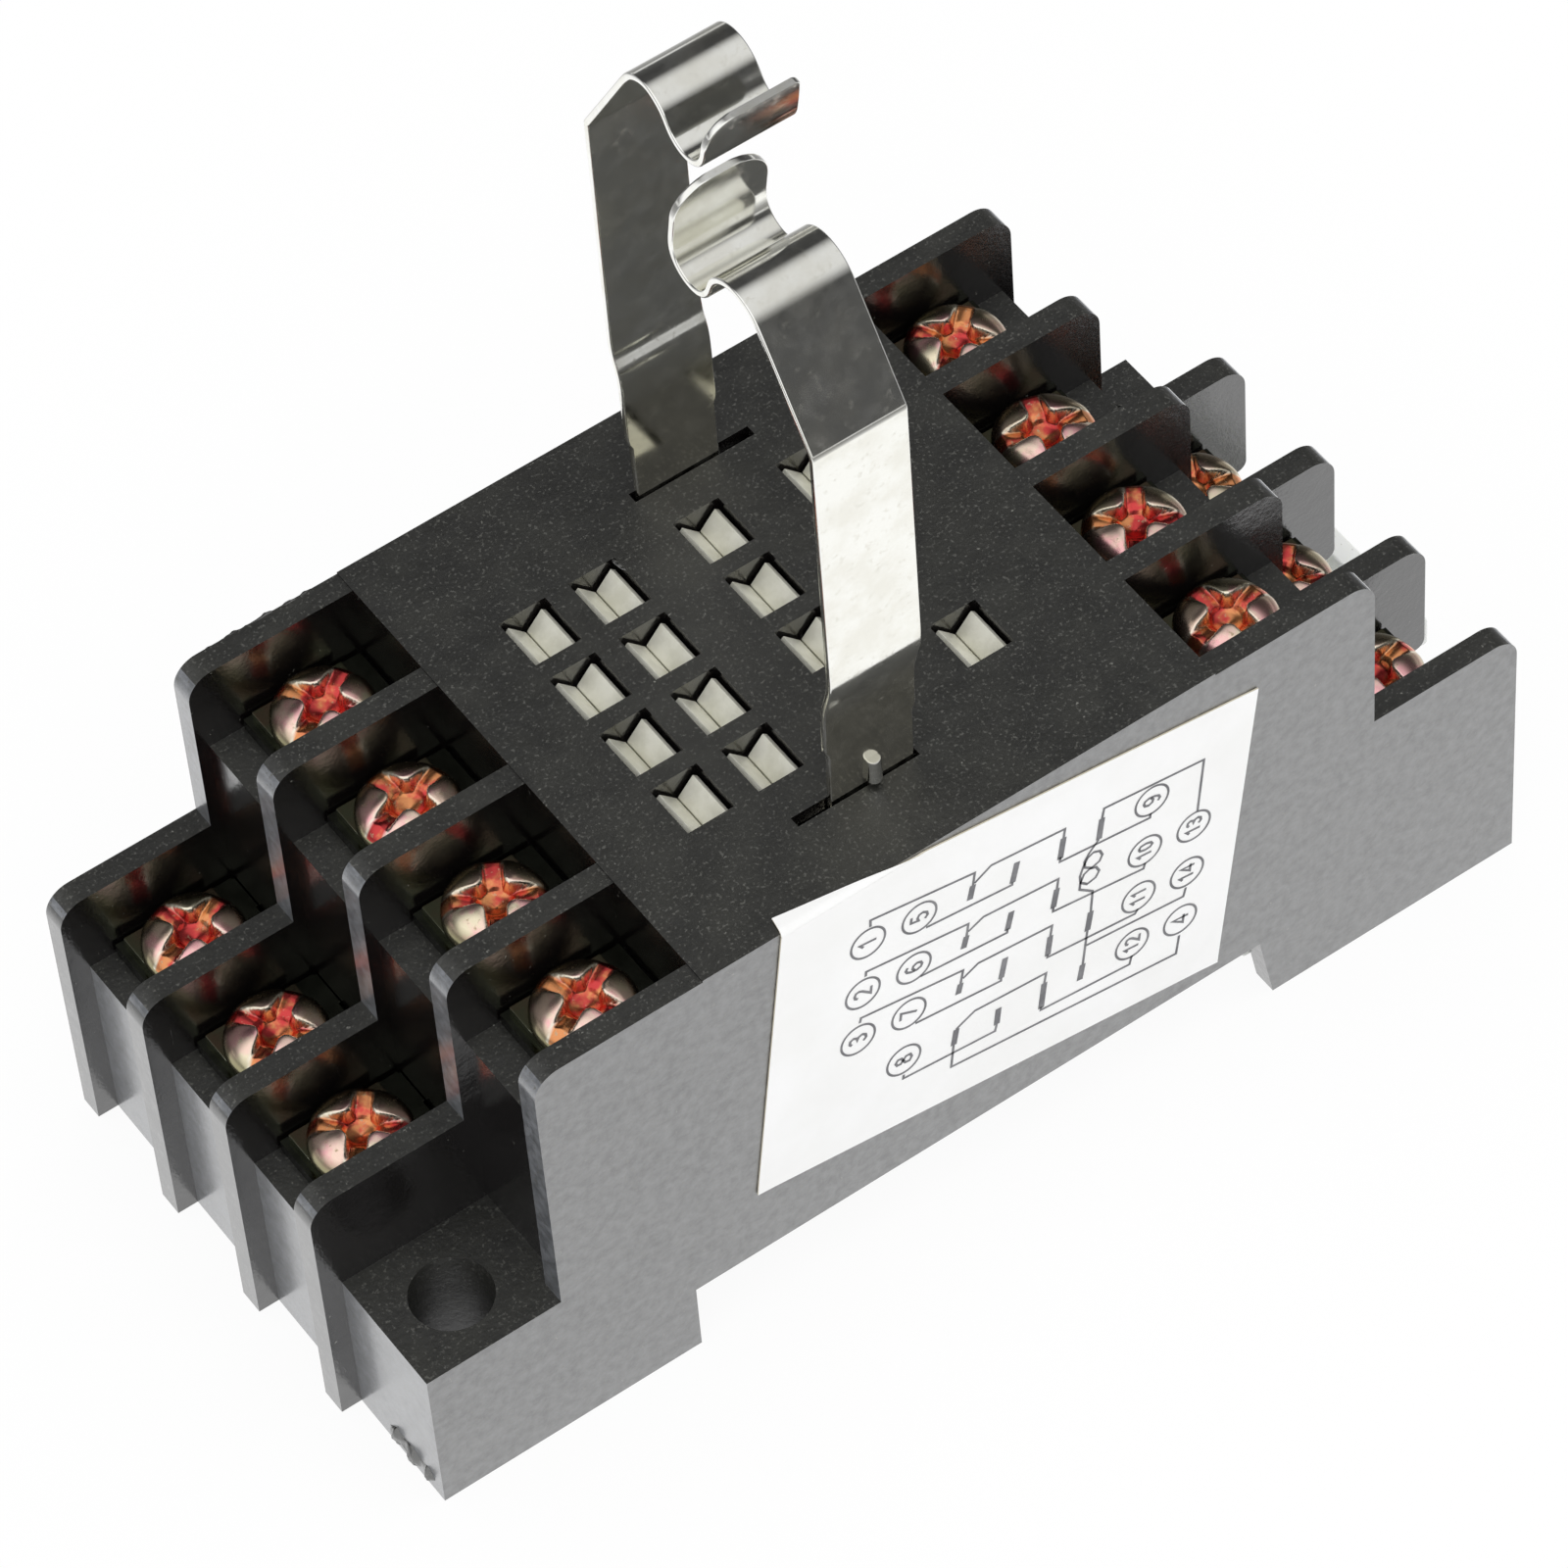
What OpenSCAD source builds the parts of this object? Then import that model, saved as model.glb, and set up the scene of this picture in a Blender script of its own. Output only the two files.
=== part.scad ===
// Screw-terminal relay socket for a 14-pin miniature relay, mounted on a 35 mm rail or by two screws.
// Frame: X along the length, Y across the width, Z up from the underside of the feet.

/* [Housing] */
// Overall length of the housing over the terminal barriers
body_l = 69; // [66:0.5:90]
// Overall width of the housing
body_w = 32; // [31.5:0.5:40]
// Height of the relay platform above the feet
plateau_h = 29; // [28.5:0.5:36]
// Height of the barriers of the lower terminal tier
tier_h = 17.5; // [17:0.5:21]
// Height of the two mounting lugs
lug_h = 10.5; // [8:0.5:12]
// Length of the upper terminal tier at each end
upper_l = 9.9; // [9:0.1:11]
// Length of the lower terminal tier at each end
lower_l = 9.2; // [9:0.1:11]
// Depth of the compartments from barrier top to terminal plate
comp_depth = 4.6; // [3:0.1:6]
// Thickness of the outer side walls
wall_t = 1.4; // [1:0.1:1.6]
// Thickness of the barriers between compartments
barrier_t = 1.5; // [1:0.1:1.8]
// Radius of the outer top corners of the barriers
barrier_r = 1.5; // [0.5:0.1:2.5]
// How far the upper barriers stand proud of the end wall
upper_proud = 0.7; // [0.3:0.1:1.2]
// How far the lower barriers stand proud of the end wall
lower_proud = 1.2; // [0.3:0.1:1.6]
// How far the inner barriers stand proud of the end wall at the latch end
latch_proud = 2.6; // [2:0.1:2.6]
// Height of the undercut below the inner barriers at the latch end
undercut_h = 9.2; // [7:0.1:10]
// Radius of the lower corners of the barriers above the undercut
undercut_r = 0.6; // [0.2:0.1:1]
// Drop of the barrier tops below the relay platform
plateau_step = 0.12; // [0.05:0.01:0.4]
// Chamfer at the lower ends of the barriers
foot_chamfer = 0.9; // [0.2:0.1:1.5]
// Diameter of the two mounting holes
lug_hole_d = 4.4; // [3.6:0.1:5]
// Distance of a mounting hole from the end wall of its lug
lug_hole_in = 3.95; // [3:0.05:5]
// Distance of a mounting hole from the side wall
lug_hole_side = 3.7; // [3:0.05:5]

/* [Inside] */
// Thickness of the platform deck that holds the contacts
deck_t = 9.5; // [8:0.5:11]
// Wall between the upper compartments and the inner chamber
back_wall = 1.2; // [0.8:0.1:1.6]
// Thickness of the bottom cover
cover_t = 1.5; // [1:0.1:2]
// Width of the rim left around the bottom cover at the sides
cover_rim = 0.9; // [0.6:0.1:1.1]
// Clearance between the bottom cover and its recess
cover_gap = 0.1; // [0.05:0.05:0.3]

/* [Rail channel] */
// Width of the channel for the rail
rail_w = 35.5; // [35.2:0.1:43]
// Depth of the channel
rail_d = 4.7; // [4.5:0.1:6]
// Distance of the channel centre from the housing centre
rail_off = 0.15; // [0:0.05:0.5]
// Slope of the foot face on the latch side, over its height
rail_slope = 0.8; // [0:0.1:1.5]
// Reach of the fixed hook and of the latch nose under the rail
hook_reach = 1.2; // [0.8:0.1:2]
// Gap above the hooks for the rail's flange
flange_gap = 1.2; // [1:0.1:1.5]
// Width of the fixed hook
hook_w = 20; // [10:1:26]

/* [Rail latch] */
// Thickness of the latch plate
latch_t = 2; // [1.5:0.1:2.2]
// Width of the pull tab
tab_w = 9; // [8:0.5:14]
// Shift of the pull tab's centre line across the housing
tab_shift = 0.9; // [0:0.1:2]
// Reach of the pull tab past the end of the barriers
tab_out = 4.1; // [3:0.1:6]
// Width of the latch nose
nose_w = 19; // [14:0.5:19.5]
// Width of the cross bar behind the nose
bar_w = 28.6; // [24:0.1:28.8]
// Length of the cross bar
bar_l = 3.6; // [3:0.1:5]
// Distance of the cross bar behind the rail channel
bar_in = 0.2; // [0:0.1:0.5]
// Half width of the floor that carries the latch
guide_half = 10; // [8:0.5:11]
// Stroke of the latch
latch_stroke = 3; // [2:0.5:4]
// Clearance round the latch in its guide
latch_gap = 0.2; // [0.1:0.05:0.3]
// Width of the finger slot in the pull tab
tab_slot_w = 5; // [3:0.5:7]

/* [Relay pins] */
// Pitch of the pins across the socket
pin_pitch = 4.4; // [4:0.1:5.2]
// Distance of the first pin row from the housing centre
row_first = -9.45; // [-9.6:0.05:-9.2]
// Steps from each pin row to the next
row_steps = [4.2, 6.35, 6.3];
// Size of a contact well along the housing
well_l = 2.8; // [2.6:0.1:3]
// Size of a contact well across the housing
well_w = 3.3; // [2.4:0.1:3.5]
// Thickness of a contact leaf
leaf_t = 0.35; // [0.2:0.05:0.4]
// Depth of the contact mouth below the platform
mouth_depth = 0.5; // [0.2:0.1:1]
// Half opening of the contact mouth
mouth_half = 0.95; // [0.7:0.05:1]
// Clearance between a contact and its well across the housing
contact_gap = 0.2; // [0.1:0.05:0.3]

/* [Terminals] */
// Thickness of the terminal plates and strips
strip_t = 0.8; // [0.6:0.1:1]
// Width of the strips that run inside the housing
strip_w = 2.2; // [1.6:0.1:2.4]
// Sideways offset of the strips from the middle of a compartment
strip_off = 1.7; // [1.5:0.05:1.8]
// Clearance between a terminal plate and the barriers
plate_gap = 0.15; // [0.05:0.05:0.3]
// Clearance between a strip and the walls it passes
strip_gap = 0.15; // [0.1:0.05:0.3]
// Distance from a terminal plate's outer end to the barrier end
plate_in = 2.7; // [2:0.1:3]
// Gap between the lowest strips and the bottom cover
strip_lift = 0.5; // [0.3:0.1:1]
// Where the strips reach their pin columns, from the housing centre
fan_x = 9.5; // [9:0.1:10]
// Lane of the long strip beside the contacts, from the housing centre
lane_y = 10.2; // [9.8:0.1:11]
// Where the long strip leaves its lane, from the housing centre
lane_x = 6.6; // [6.4:0.1:7]

/* [Terminal screws] */
// Diameter of the screw head
head_d = 5.6; // [4.5:0.1:5.8]
// Height of the domed screw head
head_h = 2.1; // [1.6:0.1:2.5]
// Height of the straight rim of the screw head
rim_h = 0.7; // [0.3:0.1:1]
// Diameter of the screw shank
shank_d = 3.5; // [3:0.1:3.8]
// Length of the screw below its head
shank_l = 7; // [5:0.5:7.5]
// Distance of the screws from the wall behind them
screw_in = 4.1; // [3.6:0.1:4.4]
// Running clearance of the screw in the washer and plate
screw_gap = 0.06; // [0.03:0.01:0.1]
// Clearance of the screw's tip in the housing
tip_gap = 0.4; // [0.2:0.1:0.6]
// Width of the driver recess
recess_w = 1; // [0.6:0.1:1.3]
// Depth of the driver recess
recess_d = 1.35; // [0.8:0.05:1.5]
// Half length of the long arm of the recess
slot_half = 2.55; // [2:0.05:2.7]
// Half length of the short arm of the recess
cross_half = 1.95; // [1.5:0.05:2.2]
// Side of the square clamping washer
washer_w = 5.4; // [4.8:0.1:5.6]
// Thickness of the washer
washer_t = 0.5; // [0.3:0.1:0.8]
// Turn of the driver recess of each screw in degrees, in terminal order
turns = [20, 35, 50, 5, 30, 15, 60, 25, 40, 75, 55, 10, 65, 45];

/* [Retaining clips] */
// Width of a clip above its shoulders
clip_w = 5.4; // [4.5:0.1:6.5]
// Narrowing at each shoulder of a clip
shoulder = 0.2; // [0:0.05:0.5]
// Height of the shoulders above the platform
shoulder_h = 4; // [3:0.5:6]
// Thickness of the clip strip
clip_t = 0.4; // [0.3:0.05:0.45]
// Distance of the clip slots from the centre line
clip_y = 10.87; // [10.7:0.05:11.2]
// Distance of a clip from the middle of the housing along its length
clip_x = 1.8; // [1:0.1:2.5]
// Shift of a slot's centre beyond its clip
slot_shift = 0.9; // [0:0.1:1.2]
// Slot length beyond the clip's width
slot_extra = 1.9; // [1:0.1:2.5]
// Width of a clip slot
slot_w = 0.64; // [0.6:0.02:0.8]
// Thickness of the throat that holds a clip
throat_t = 0.8; // [0.6:0.1:1]
// Height of a clip's foot below the throat
foot_h = 1; // [0.6:0.1:1.5]
// Reach of the foot past each end of the slot
foot_reach = 1.2; // [0.8:0.1:1.5]
// Play of the foot in its pocket
foot_gap = 0.3; // [0.2:0.05:0.5]
// Half width of the pocket across the foot
pocket_half = 1.2; // [1:0.1:1.4]
// Corner radii at the tip of the near clip
near_tip_r = [2, 2.2];
// Corner radii at the tip of the far clip
far_tip_r = [0.3, 1.6];
// Near clip: lower and upper end of its set, outward and up from the slot
near_set = [[0.28, 7.3], [1.08, 9.85]];
// Near clip: corner where it turns inward
near_bend = [1.13, 27.15];
// Near clip: centre and radius of the arch
near_arch = [-4.47, 31.6, 2.2];
// Near clip: lowest point of the valley that presses on the relay
near_valley = [-8.17, 30.6];
// Near clip: tip of the finger lip
near_tip = [-9.47, 36.4];
// Far clip: lower and upper end of its set
far_set = [[0.22, 9], [0.78, 10.6]];
// Far clip: corner where it turns inward
far_bend = [0.78, 27.15];
// Far clip: centre and radius of the arch
far_arch = [-4.9, 32.82, 1.9];
// Far clip: lowest point of the valley that presses on the relay
far_valley = [-8.12, 32.5];
// Far clip: tip of the finger lip
far_tip = [-9.82, 36];

/* [Label] */
// Width of the paper label
label_w = 28.9; // [24:0.1:30]
// Height of the paper label
label_h = 20.6; // [16:0.1:21]
// Thickness of the paper label
label_t = 0.12; // [0.08:0.01:0.2]
// Tilt of the label on the side wall in degrees
label_tilt = -8; // [-10:1:0]
// Label centre along the housing
label_x = 2.2; // [0:0.1:4]
// Label centre below the relay platform
label_drop = 11.2; // [10.5:0.1:12]

/* [Hidden] */
$fn = 48;
cut = 0.5;

half_w = body_w / 2;
end_x = body_l / 2;
upper_x = end_x - lower_l;
back_x = upper_x - upper_l;
upper_wall_x = upper_x - upper_proud;
lower_wall_x = end_x - lower_proud;
latch_wall_x = end_x - latch_proud;
barrier_top = plateau_h - plateau_step;
upper_z = barrier_top - comp_depth;
lower_z = tier_h - comp_depth;
comp_w = (body_w - 2 * wall_t - 3 * barrier_t) / 4;
comp_step = comp_w + barrier_t;
deck_z = plateau_h - deck_t;
chamber_x = back_x - back_wall;
chamber_y = half_w - wall_t;
cover_top = rail_d + cover_t;
cover_x = rail_w / 2 - 1.1;
cover_y = half_w - cover_rim;
leg_x = chamber_x - strip_gap - strip_t / 2;
low_run_z = cover_top + strip_lift;
fan_out = leg_x - strip_t;
rail_x0 = rail_off - rail_w / 2;
rail_x1 = rail_off + rail_w / 2;
latch_z = rail_d - flange_gap - latch_t;
slot_l = clip_w + slot_extra;
foot_l = slot_l + 2 * foot_reach;
pivot_z = plateau_h - throat_t / 2;
contact_base = deck_z + 0.6;
lug_x = lower_wall_x - lug_hole_in;
lug_y = half_w - lug_hole_side;

// Terminal table: end of the socket, upper tier or not, compartment, pin row, pin column
WIRING = [
    [-1, false, 3, 0, 3], [-1, false, 2, 0, 2], [-1, false, 1, 0, 1], [1, false, 0, 0, 0],
    [-1, true, 3, 1, 3], [-1, true, 2, 1, 2], [-1, true, 1, 1, 1], [-1, true, 0, 1, 0],
    [1, true, 3, 2, 3], [1, true, 2, 2, 2], [1, true, 1, 2, 1], [1, true, 0, 2, 0],
    [1, false, 2, 3, 3], [1, false, 1, 3, 0]];

function end_of(n) = WIRING[n - 1][0];
function is_upper(n) = WIRING[n - 1][1];
function comp_y(i) = (i - 1.5) * comp_step;
function comp_of(n) = comp_y(WIRING[n - 1][2]);
function row_x(i) = row_first + (i > 0 ? row_steps[0] : 0) + (i > 1 ? row_steps[1] : 0) + (i > 2 ? row_steps[2] : 0);
function pin_x(n) = row_x(WIRING[n - 1][3]);
function pin_y(n) = (WIRING[n - 1][4] - 1.5) * pin_pitch;
function screw_x(n) = end_of(n) * (is_upper(n) ? back_x + screw_in : upper_wall_x + screw_in);
function plate_z(n) = is_upper(n) ? upper_z : lower_z;
function strip_y(n) = comp_of(n) + end_of(n) * (is_upper(n) ? strip_off : -strip_off);
function run_z(n) = is_upper(n) ? low_run_z : lower_z - strip_t;

function unit(v) = v / norm(v);
function normal(v) = [-v[1], v[0]];
function miter(p, i) =
    let (last = len(p) - 1)
    let (a = normal(unit(p[min(i + 1, last)] - p[min(i, last - 1)])))
    let (b = normal(unit(p[max(i, 1)] - p[max(i - 1, 0)])))
    let (m = unit(a + b))
    m / (m * a);
function ribbon(p, t) = concat(
    [for (i = [0 : len(p) - 1]) p[i] + miter(p, i) * t / 2],
    [for (i = [len(p) - 1 : -1 : 0]) p[i] - miter(p, i) * t / 2]);
function arc(c, r, a0, a1, steps) =
    [for (i = [1 : steps]) let (a = a0 + (a1 - a0) * i / steps) c + r * [cos(a), sin(a)]];

// The valley's radius makes it run smoothly out of the arch
function valley_r(arch, valley) =
    let (across = arch[0] - valley[0])
    let (down = valley[1] - arch[1])
    (across * across + down * down - arch[2] * arch[2]) / (2 * (arch[2] - down));

// Middle line of a clip, outward and up from the middle of its slot
function clip_line(set, bend, arch, valley, tip) =
    let (vr = valley_r(arch, valley))
    let (ac = [arch[0], arch[1]])
    let (vc = [valley[0], valley[1] + vr])
    let (away = ac - bend)
    let (lean = atan2(away[1], away[0]) - asin(arch[2] / norm(away)))
    let (join = atan2(vc[1] - ac[1], vc[0] - ac[0]))
    concat(
        [[0, -throat_t - foot_gap - foot_h], [0, 0.2], set[0], set[1], bend],
        arc(ac, arch[2], lean - 90, join, 14),
        arc(vc, vr, join - 180, -176, 12),
        [tip]);

module slab(y0, y1) {
    translate([0, y1, 0])
        rotate([90, 0, 0])
            linear_extrude(y1 - y0)
                children();
}

// One step of the housing's half outline seen from the side, its outer top corner rounded
module step_outline(x, top, r) {
    difference() {
        square([x, top]);
        translate([x - r, top - r])
            difference() {
                square(r + cut);
                circle(r);
            }
    }
}

module half_outline(x_up, x_low, top_up, top_low, r_low) {
    step_outline(x_up, top_up, barrier_r);
    difference() {
        step_outline(x_low, top_low, r_low);
        translate([x_low - foot_chamfer, 0])
            rotate(-45)
                translate([0, -2 * foot_chamfer])
                    square([3 * foot_chamfer, 2 * foot_chamfer]);
    }
}

module channel_outline() {
    polygon([[rail_x0, -cut], [rail_x0, rail_d], [rail_x1, rail_d],
        [rail_x1 + rail_slope, 0], [rail_x1 + rail_slope, -cut]]);
}

// Space below the inner barriers where they overhang the latch
module undercut_outline() {
    translate([latch_wall_x, -cut])
        square([latch_proud + cut, undercut_h + cut]);
    translate([end_x - undercut_r, undercut_h])
        difference() {
            square([undercut_r + cut, undercut_r]);
            translate([0, undercut_r])
                circle(undercut_r);
        }
}

// Outline of a barrier, or of a side wall where the lug leaves the lower tier out
module barrier_outline(left_low, right_low) {
    difference() {
        union() {
            mirror([1, 0])
                half_outline(upper_x, left_low ? end_x : lower_wall_x, barrier_top, left_low ? tier_h : lug_h,
                    left_low ? barrier_r : 0.01);
            half_outline(upper_x, right_low ? end_x : lower_wall_x, barrier_top, right_low ? tier_h : lug_h,
                right_low ? barrier_r : 0.01);
            translate([-back_x, 0])
                square([2 * back_x, plateau_h]);
        }
        channel_outline();
    }
}

// Outline of the housing through a compartment, up to its floors
module floor_outline(left_low, right_low) {
    difference() {
        union() {
            translate([-upper_wall_x, 0])
                square([2 * upper_wall_x, upper_z - strip_t]);
            translate([-lower_wall_x, 0])
                square([lower_wall_x, left_low ? lower_z - strip_t : lug_h]);
            square(right_low ? [latch_wall_x, lower_z - strip_t] : [lower_wall_x, lug_h]);
            translate([-back_x, 0])
                square([2 * back_x, plateau_h]);
        }
        channel_outline();
    }
}

module box_at(x0, x1, y0, y1, z0, z1) {
    translate([min(x0, x1), min(y0, y1), z0])
        cube([abs(x1 - x0), abs(y1 - y0), z1 - z0]);
}

module shell() {
    for (i = [0 : 3])
        slab(comp_y(i) - comp_w / 2, comp_y(i) + comp_w / 2)
            floor_outline(i > 0, i < 3);
    for (i = [0 : 2])
        slab(comp_y(i) + comp_w / 2, comp_y(i + 1) - comp_w / 2)
            difference() {
                barrier_outline(true, true);
                undercut_outline();
            }
    slab(-half_w, -half_w + wall_t)
        barrier_outline(false, true);
    slab(half_w - wall_t, half_w)
        barrier_outline(true, false);
    box_at(rail_x0 - 1, rail_x0 + hook_reach, -hook_w / 2, hook_w / 2, latch_z, latch_z + latch_t);
}

module strip_passages(n) {
    e = end_of(n);
    y0 = strip_y(n) - strip_w / 2 - strip_gap;
    y1 = strip_y(n) + strip_w / 2 + strip_gap;
    z1 = plate_z(n) + strip_gap;
    z0 = plate_z(n) - strip_t - strip_gap;
    inner = leg_x - strip_t / 2 - strip_gap;
    if (is_upper(n)) {
        box_at(e * inner, e * (back_x + cut), y0, y1, z0, z1);
        box_at(e * inner, e * chamber_x, y0, y1, deck_z - cut, z1);
    } else {
        box_at(e * inner, e * (upper_wall_x + cut), y0, y1, z0, z1);
    }
}

module tip_hole(n) {
    bottom = plate_z(n) + washer_t - shank_l - tip_gap;
    translate([screw_x(n), comp_of(n), bottom])
        cylinder(d = shank_d + 2 * tip_gap, h = plate_z(n) - bottom);
}

module contact_well(n) {
    box_at(pin_x(n) - well_l / 2, pin_x(n) + well_l / 2, pin_y(n) - well_w / 2, pin_y(n) + well_w / 2,
        deck_z - cut, plateau_h + cut);
}

// Slot and pocket for a clip; the far one is the near one turned half round
module clip_cut() {
    x = -clip_x - slot_shift;
    box_at(x - slot_l / 2, x + slot_l / 2, -clip_y - slot_w / 2, -clip_y + slot_w / 2, deck_z, plateau_h + cut);
    box_at(x - foot_l / 2 - foot_gap, x + foot_l / 2 + foot_gap, -clip_y - pocket_half, -clip_y + pocket_half,
        deck_z - cut, plateau_h - throat_t);
}

// Guide for the latch: its cross bar runs in a pocket whose ends are open below
module latch_guide() {
    z0 = latch_z - latch_gap;
    z1 = latch_z + latch_t + latch_gap;
    bar_end = rail_x1 + bar_in + bar_l + latch_stroke + latch_gap;
    box_at(rail_x1 - cut, bar_end, -chamber_y, chamber_y, z0, z1);
    for (s = [-1, 1])
        box_at(rail_x1 - cut, bar_end, s * guide_half, s * chamber_y, -cut, z1);
    box_at(rail_x1 - cut, end_x + cut, tab_shift - tab_w / 2 - latch_gap, tab_shift + tab_w / 2 + latch_gap, z0, z1);
}

module housing() {
    color("#26272a")
        difference() {
            shell();
            box_at(-chamber_x, chamber_x, -chamber_y, chamber_y, cover_top - cut, deck_z);
            box_at(-cover_x, cover_x, -cover_y, cover_y, rail_d - cut, cover_top);
            for (n = [1 : 14]) {
                strip_passages(n);
                tip_hole(n);
                contact_well(n);
            }
            for (a = [0, 180])
                rotate(a) {
                    clip_cut();
                    translate([-lug_x, -lug_y, -cut])
                        cylinder(d = lug_hole_d, h = lug_h + 2 * cut);
                }
            latch_guide();
        }
}

module bottom_cover() {
    color("#2c2d30")
        box_at(-cover_x + cover_gap, cover_x - cover_gap, -cover_y + cover_gap, cover_y - cover_gap,
            rail_d, cover_top);
}

// The label's outline on the side wall, measured up from the feet
module label_outline() {
    translate([label_x, plateau_h - label_drop])
        rotate(label_tilt)
            square([label_w, label_h], center = true);
}

module label() {
    top = plateau_h + label_t;
    color("#f2f2f0") {
        slab(-half_w - label_t, -half_w)
            intersection() {
                label_outline();
                translate([-body_l, 0])
                    square([2 * body_l, top]);
            }
        translate([0, -half_w, plateau_h])
            linear_extrude(label_t)
                intersection() {
                    translate([0, -plateau_h])
                        label_outline();
                    translate([-body_l, -label_t])
                        square([2 * body_l, label_h]);
                }
    }
}

module rail_latch() {
    bar_x = rail_x1 + bar_in;
    tab_x = end_x + tab_out;
    color("#d9ddd6")
        difference() {
            union() {
                box_at(rail_x1 - hook_reach, bar_x + bar_l / 2, -nose_w / 2, nose_w / 2, latch_z, latch_z + latch_t);
                box_at(bar_x, bar_x + bar_l, -bar_w / 2, bar_w / 2, latch_z, latch_z + latch_t);
                box_at(bar_x + bar_l / 2, tab_x, tab_shift - tab_w / 2, tab_shift + tab_w / 2,
                    latch_z, latch_z + latch_t);
            }
            translate([end_x + tab_out / 2 - 0.7, tab_shift, 0])
                box_at(0, 1.4, -tab_slot_w / 2, tab_slot_w / 2, 0, rail_d);
        }
}

// Outline of a clip's blank seen from the front: foot, neck, strip and rounded tip
module clip_blank(x, tip_z, tip_r) {
    neck = clip_w / 2 - shoulder;
    foot_z = -throat_t - foot_gap;
    translate([x - slot_shift - foot_l / 2, foot_z - foot_h - cut])
        square([foot_l, foot_h + cut]);
    translate([x - neck, foot_z - cut])
        square([2 * neck, shoulder_h - foot_z + cut]);
    translate([x - clip_w / 2, shoulder_h])
        square([clip_w, tip_z - shoulder_h - max(tip_r)]);
    hull() {
        for (i = [0, 1])
            translate([x + (2 * i - 1) * (clip_w / 2 - tip_r[i]), tip_z - tip_r[i]])
                circle(tip_r[i]);
        translate([x - clip_w / 2, tip_z - max(tip_r) - cut])
            square([clip_w, cut]);
    }
}

module clip(line, tip_z, tip_r) {
    thick = 30;
    translate([0, -clip_y, plateau_h]) {
        intersection() {
            rotate([90, 0, -90])
                translate([0, 0, -thick / 2])
                    linear_extrude(thick)
                        polygon(ribbon(line, clip_t));
            translate([0, thick / 2, 0])
                rotate([90, 0, 0])
                    linear_extrude(thick)
                        clip_blank(-clip_x, tip_z, tip_r);
        }
        translate([-clip_x, -clip_t / 2 - 0.15, 0.35])
            cylinder(d = 1, h = 1.7);
    }
}

module clip_near() {
    color("#b9bab4")
        clip(clip_line(near_set, near_bend, near_arch, near_valley, near_tip), near_tip[1], near_tip_r);
}

module clip_far() {
    color("#b9bab4")
        rotate(180)
            clip(clip_line(far_set, far_bend, far_arch, far_valley, far_tip), far_tip[1], far_tip_r);
}

// A strip laid flat through the given points, as wide across the housing all the way
module strip_run(points, z) {
    for (i = [0 : len(points) - 2])
        translate([0, 0, z])
            linear_extrude(strip_t)
                polygon([points[i] - [0, strip_w / 2], points[i] + [0, strip_w / 2],
                    points[i + 1] + [0, strip_w / 2], points[i + 1] - [0, strip_w / 2]]);
}

// A pair of sprung leaves that pinch a pin, standing on the strip's stem
module contact(x, y) {
    top = plateau_h - mouth_depth;
    nip = top - 1;
    leaf = [[0.3, contact_base], [0.45, contact_base + 1.6], [leaf_t / 2 + 0.04, nip], [mouth_half + leaf_t / 2, top]];
    w = well_w - 2 * contact_gap;
    translate([x, y + w / 2, 0])
        rotate([90, 0, 0])
            linear_extrude(w) {
                polygon(ribbon(leaf, leaf_t));
                mirror([1, 0])
                    polygon(ribbon(leaf, leaf_t));
                translate([-strip_t / 2, contact_base - 0.3])
                    square([strip_t, 0.8]);
            }
}

module terminal(n) {
    e = end_of(n);
    pz = plate_z(n);
    rz = run_z(n);
    wall = is_upper(n) ? back_x : upper_wall_x;
    plate_end = (is_upper(n) ? upper_x : end_x) - plate_in;
    half_plate = comp_w / 2 - plate_gap;
    start = [e * (is_upper(n) ? leg_x + strip_t / 2 : wall + cut), strip_y(n)];
    pin = [pin_x(n), pin_y(n)];
    turn = [e * fan_out, strip_y(n)];
    stem_face = pin + [e * strip_t / 2, 0];
    fan = abs(stem_face[0]) < fan_x ? [[e * fan_x, pin[1]]] : [];
    lane = [[e * fan_x, -e * lane_y], [-e * lane_x, -e * lane_y]];
    crosses = e * pin[0] < 0 && !is_upper(n);
    color("#a9a58f")
        difference() {
            union() {
                box_at(e * (wall + plate_gap), e * plate_end, comp_of(n) - half_plate, comp_of(n) + half_plate,
                    pz - strip_t, pz);
                box_at(e * (leg_x - strip_t / 2), e * (wall + cut), strip_y(n) - strip_w / 2,
                    strip_y(n) + strip_w / 2, pz - strip_t, pz);
                if (is_upper(n))
                    box_at(e * (leg_x - strip_t / 2), e * (leg_x + strip_t / 2), strip_y(n) - strip_w / 2,
                        strip_y(n) + strip_w / 2, rz, pz);
                strip_run(concat([start, turn], crosses ? lane : fan, [stem_face]), rz);
                box_at(pin[0] - strip_t / 2, pin[0] + strip_t / 2, pin[1] - strip_w / 2, pin[1] + strip_w / 2,
                    rz, contact_base);
                contact(pin[0], pin[1]);
            }
            translate([screw_x(n), comp_of(n), pz - strip_t - cut])
                cylinder(d = shank_d + 2 * screw_gap, h = strip_t + 2 * cut);
        }
}

module washer(n) {
    color("#c9b98a")
        translate([screw_x(n), comp_of(n), plate_z(n)])
            difference() {
                translate([-washer_w / 2, -washer_w / 2, 0])
                    cube([washer_w, washer_w, washer_t]);
                translate([0, 0, -cut])
                    cylinder(d = shank_d + 2 * screw_gap, h = washer_t + 2 * cut);
            }
}

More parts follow.
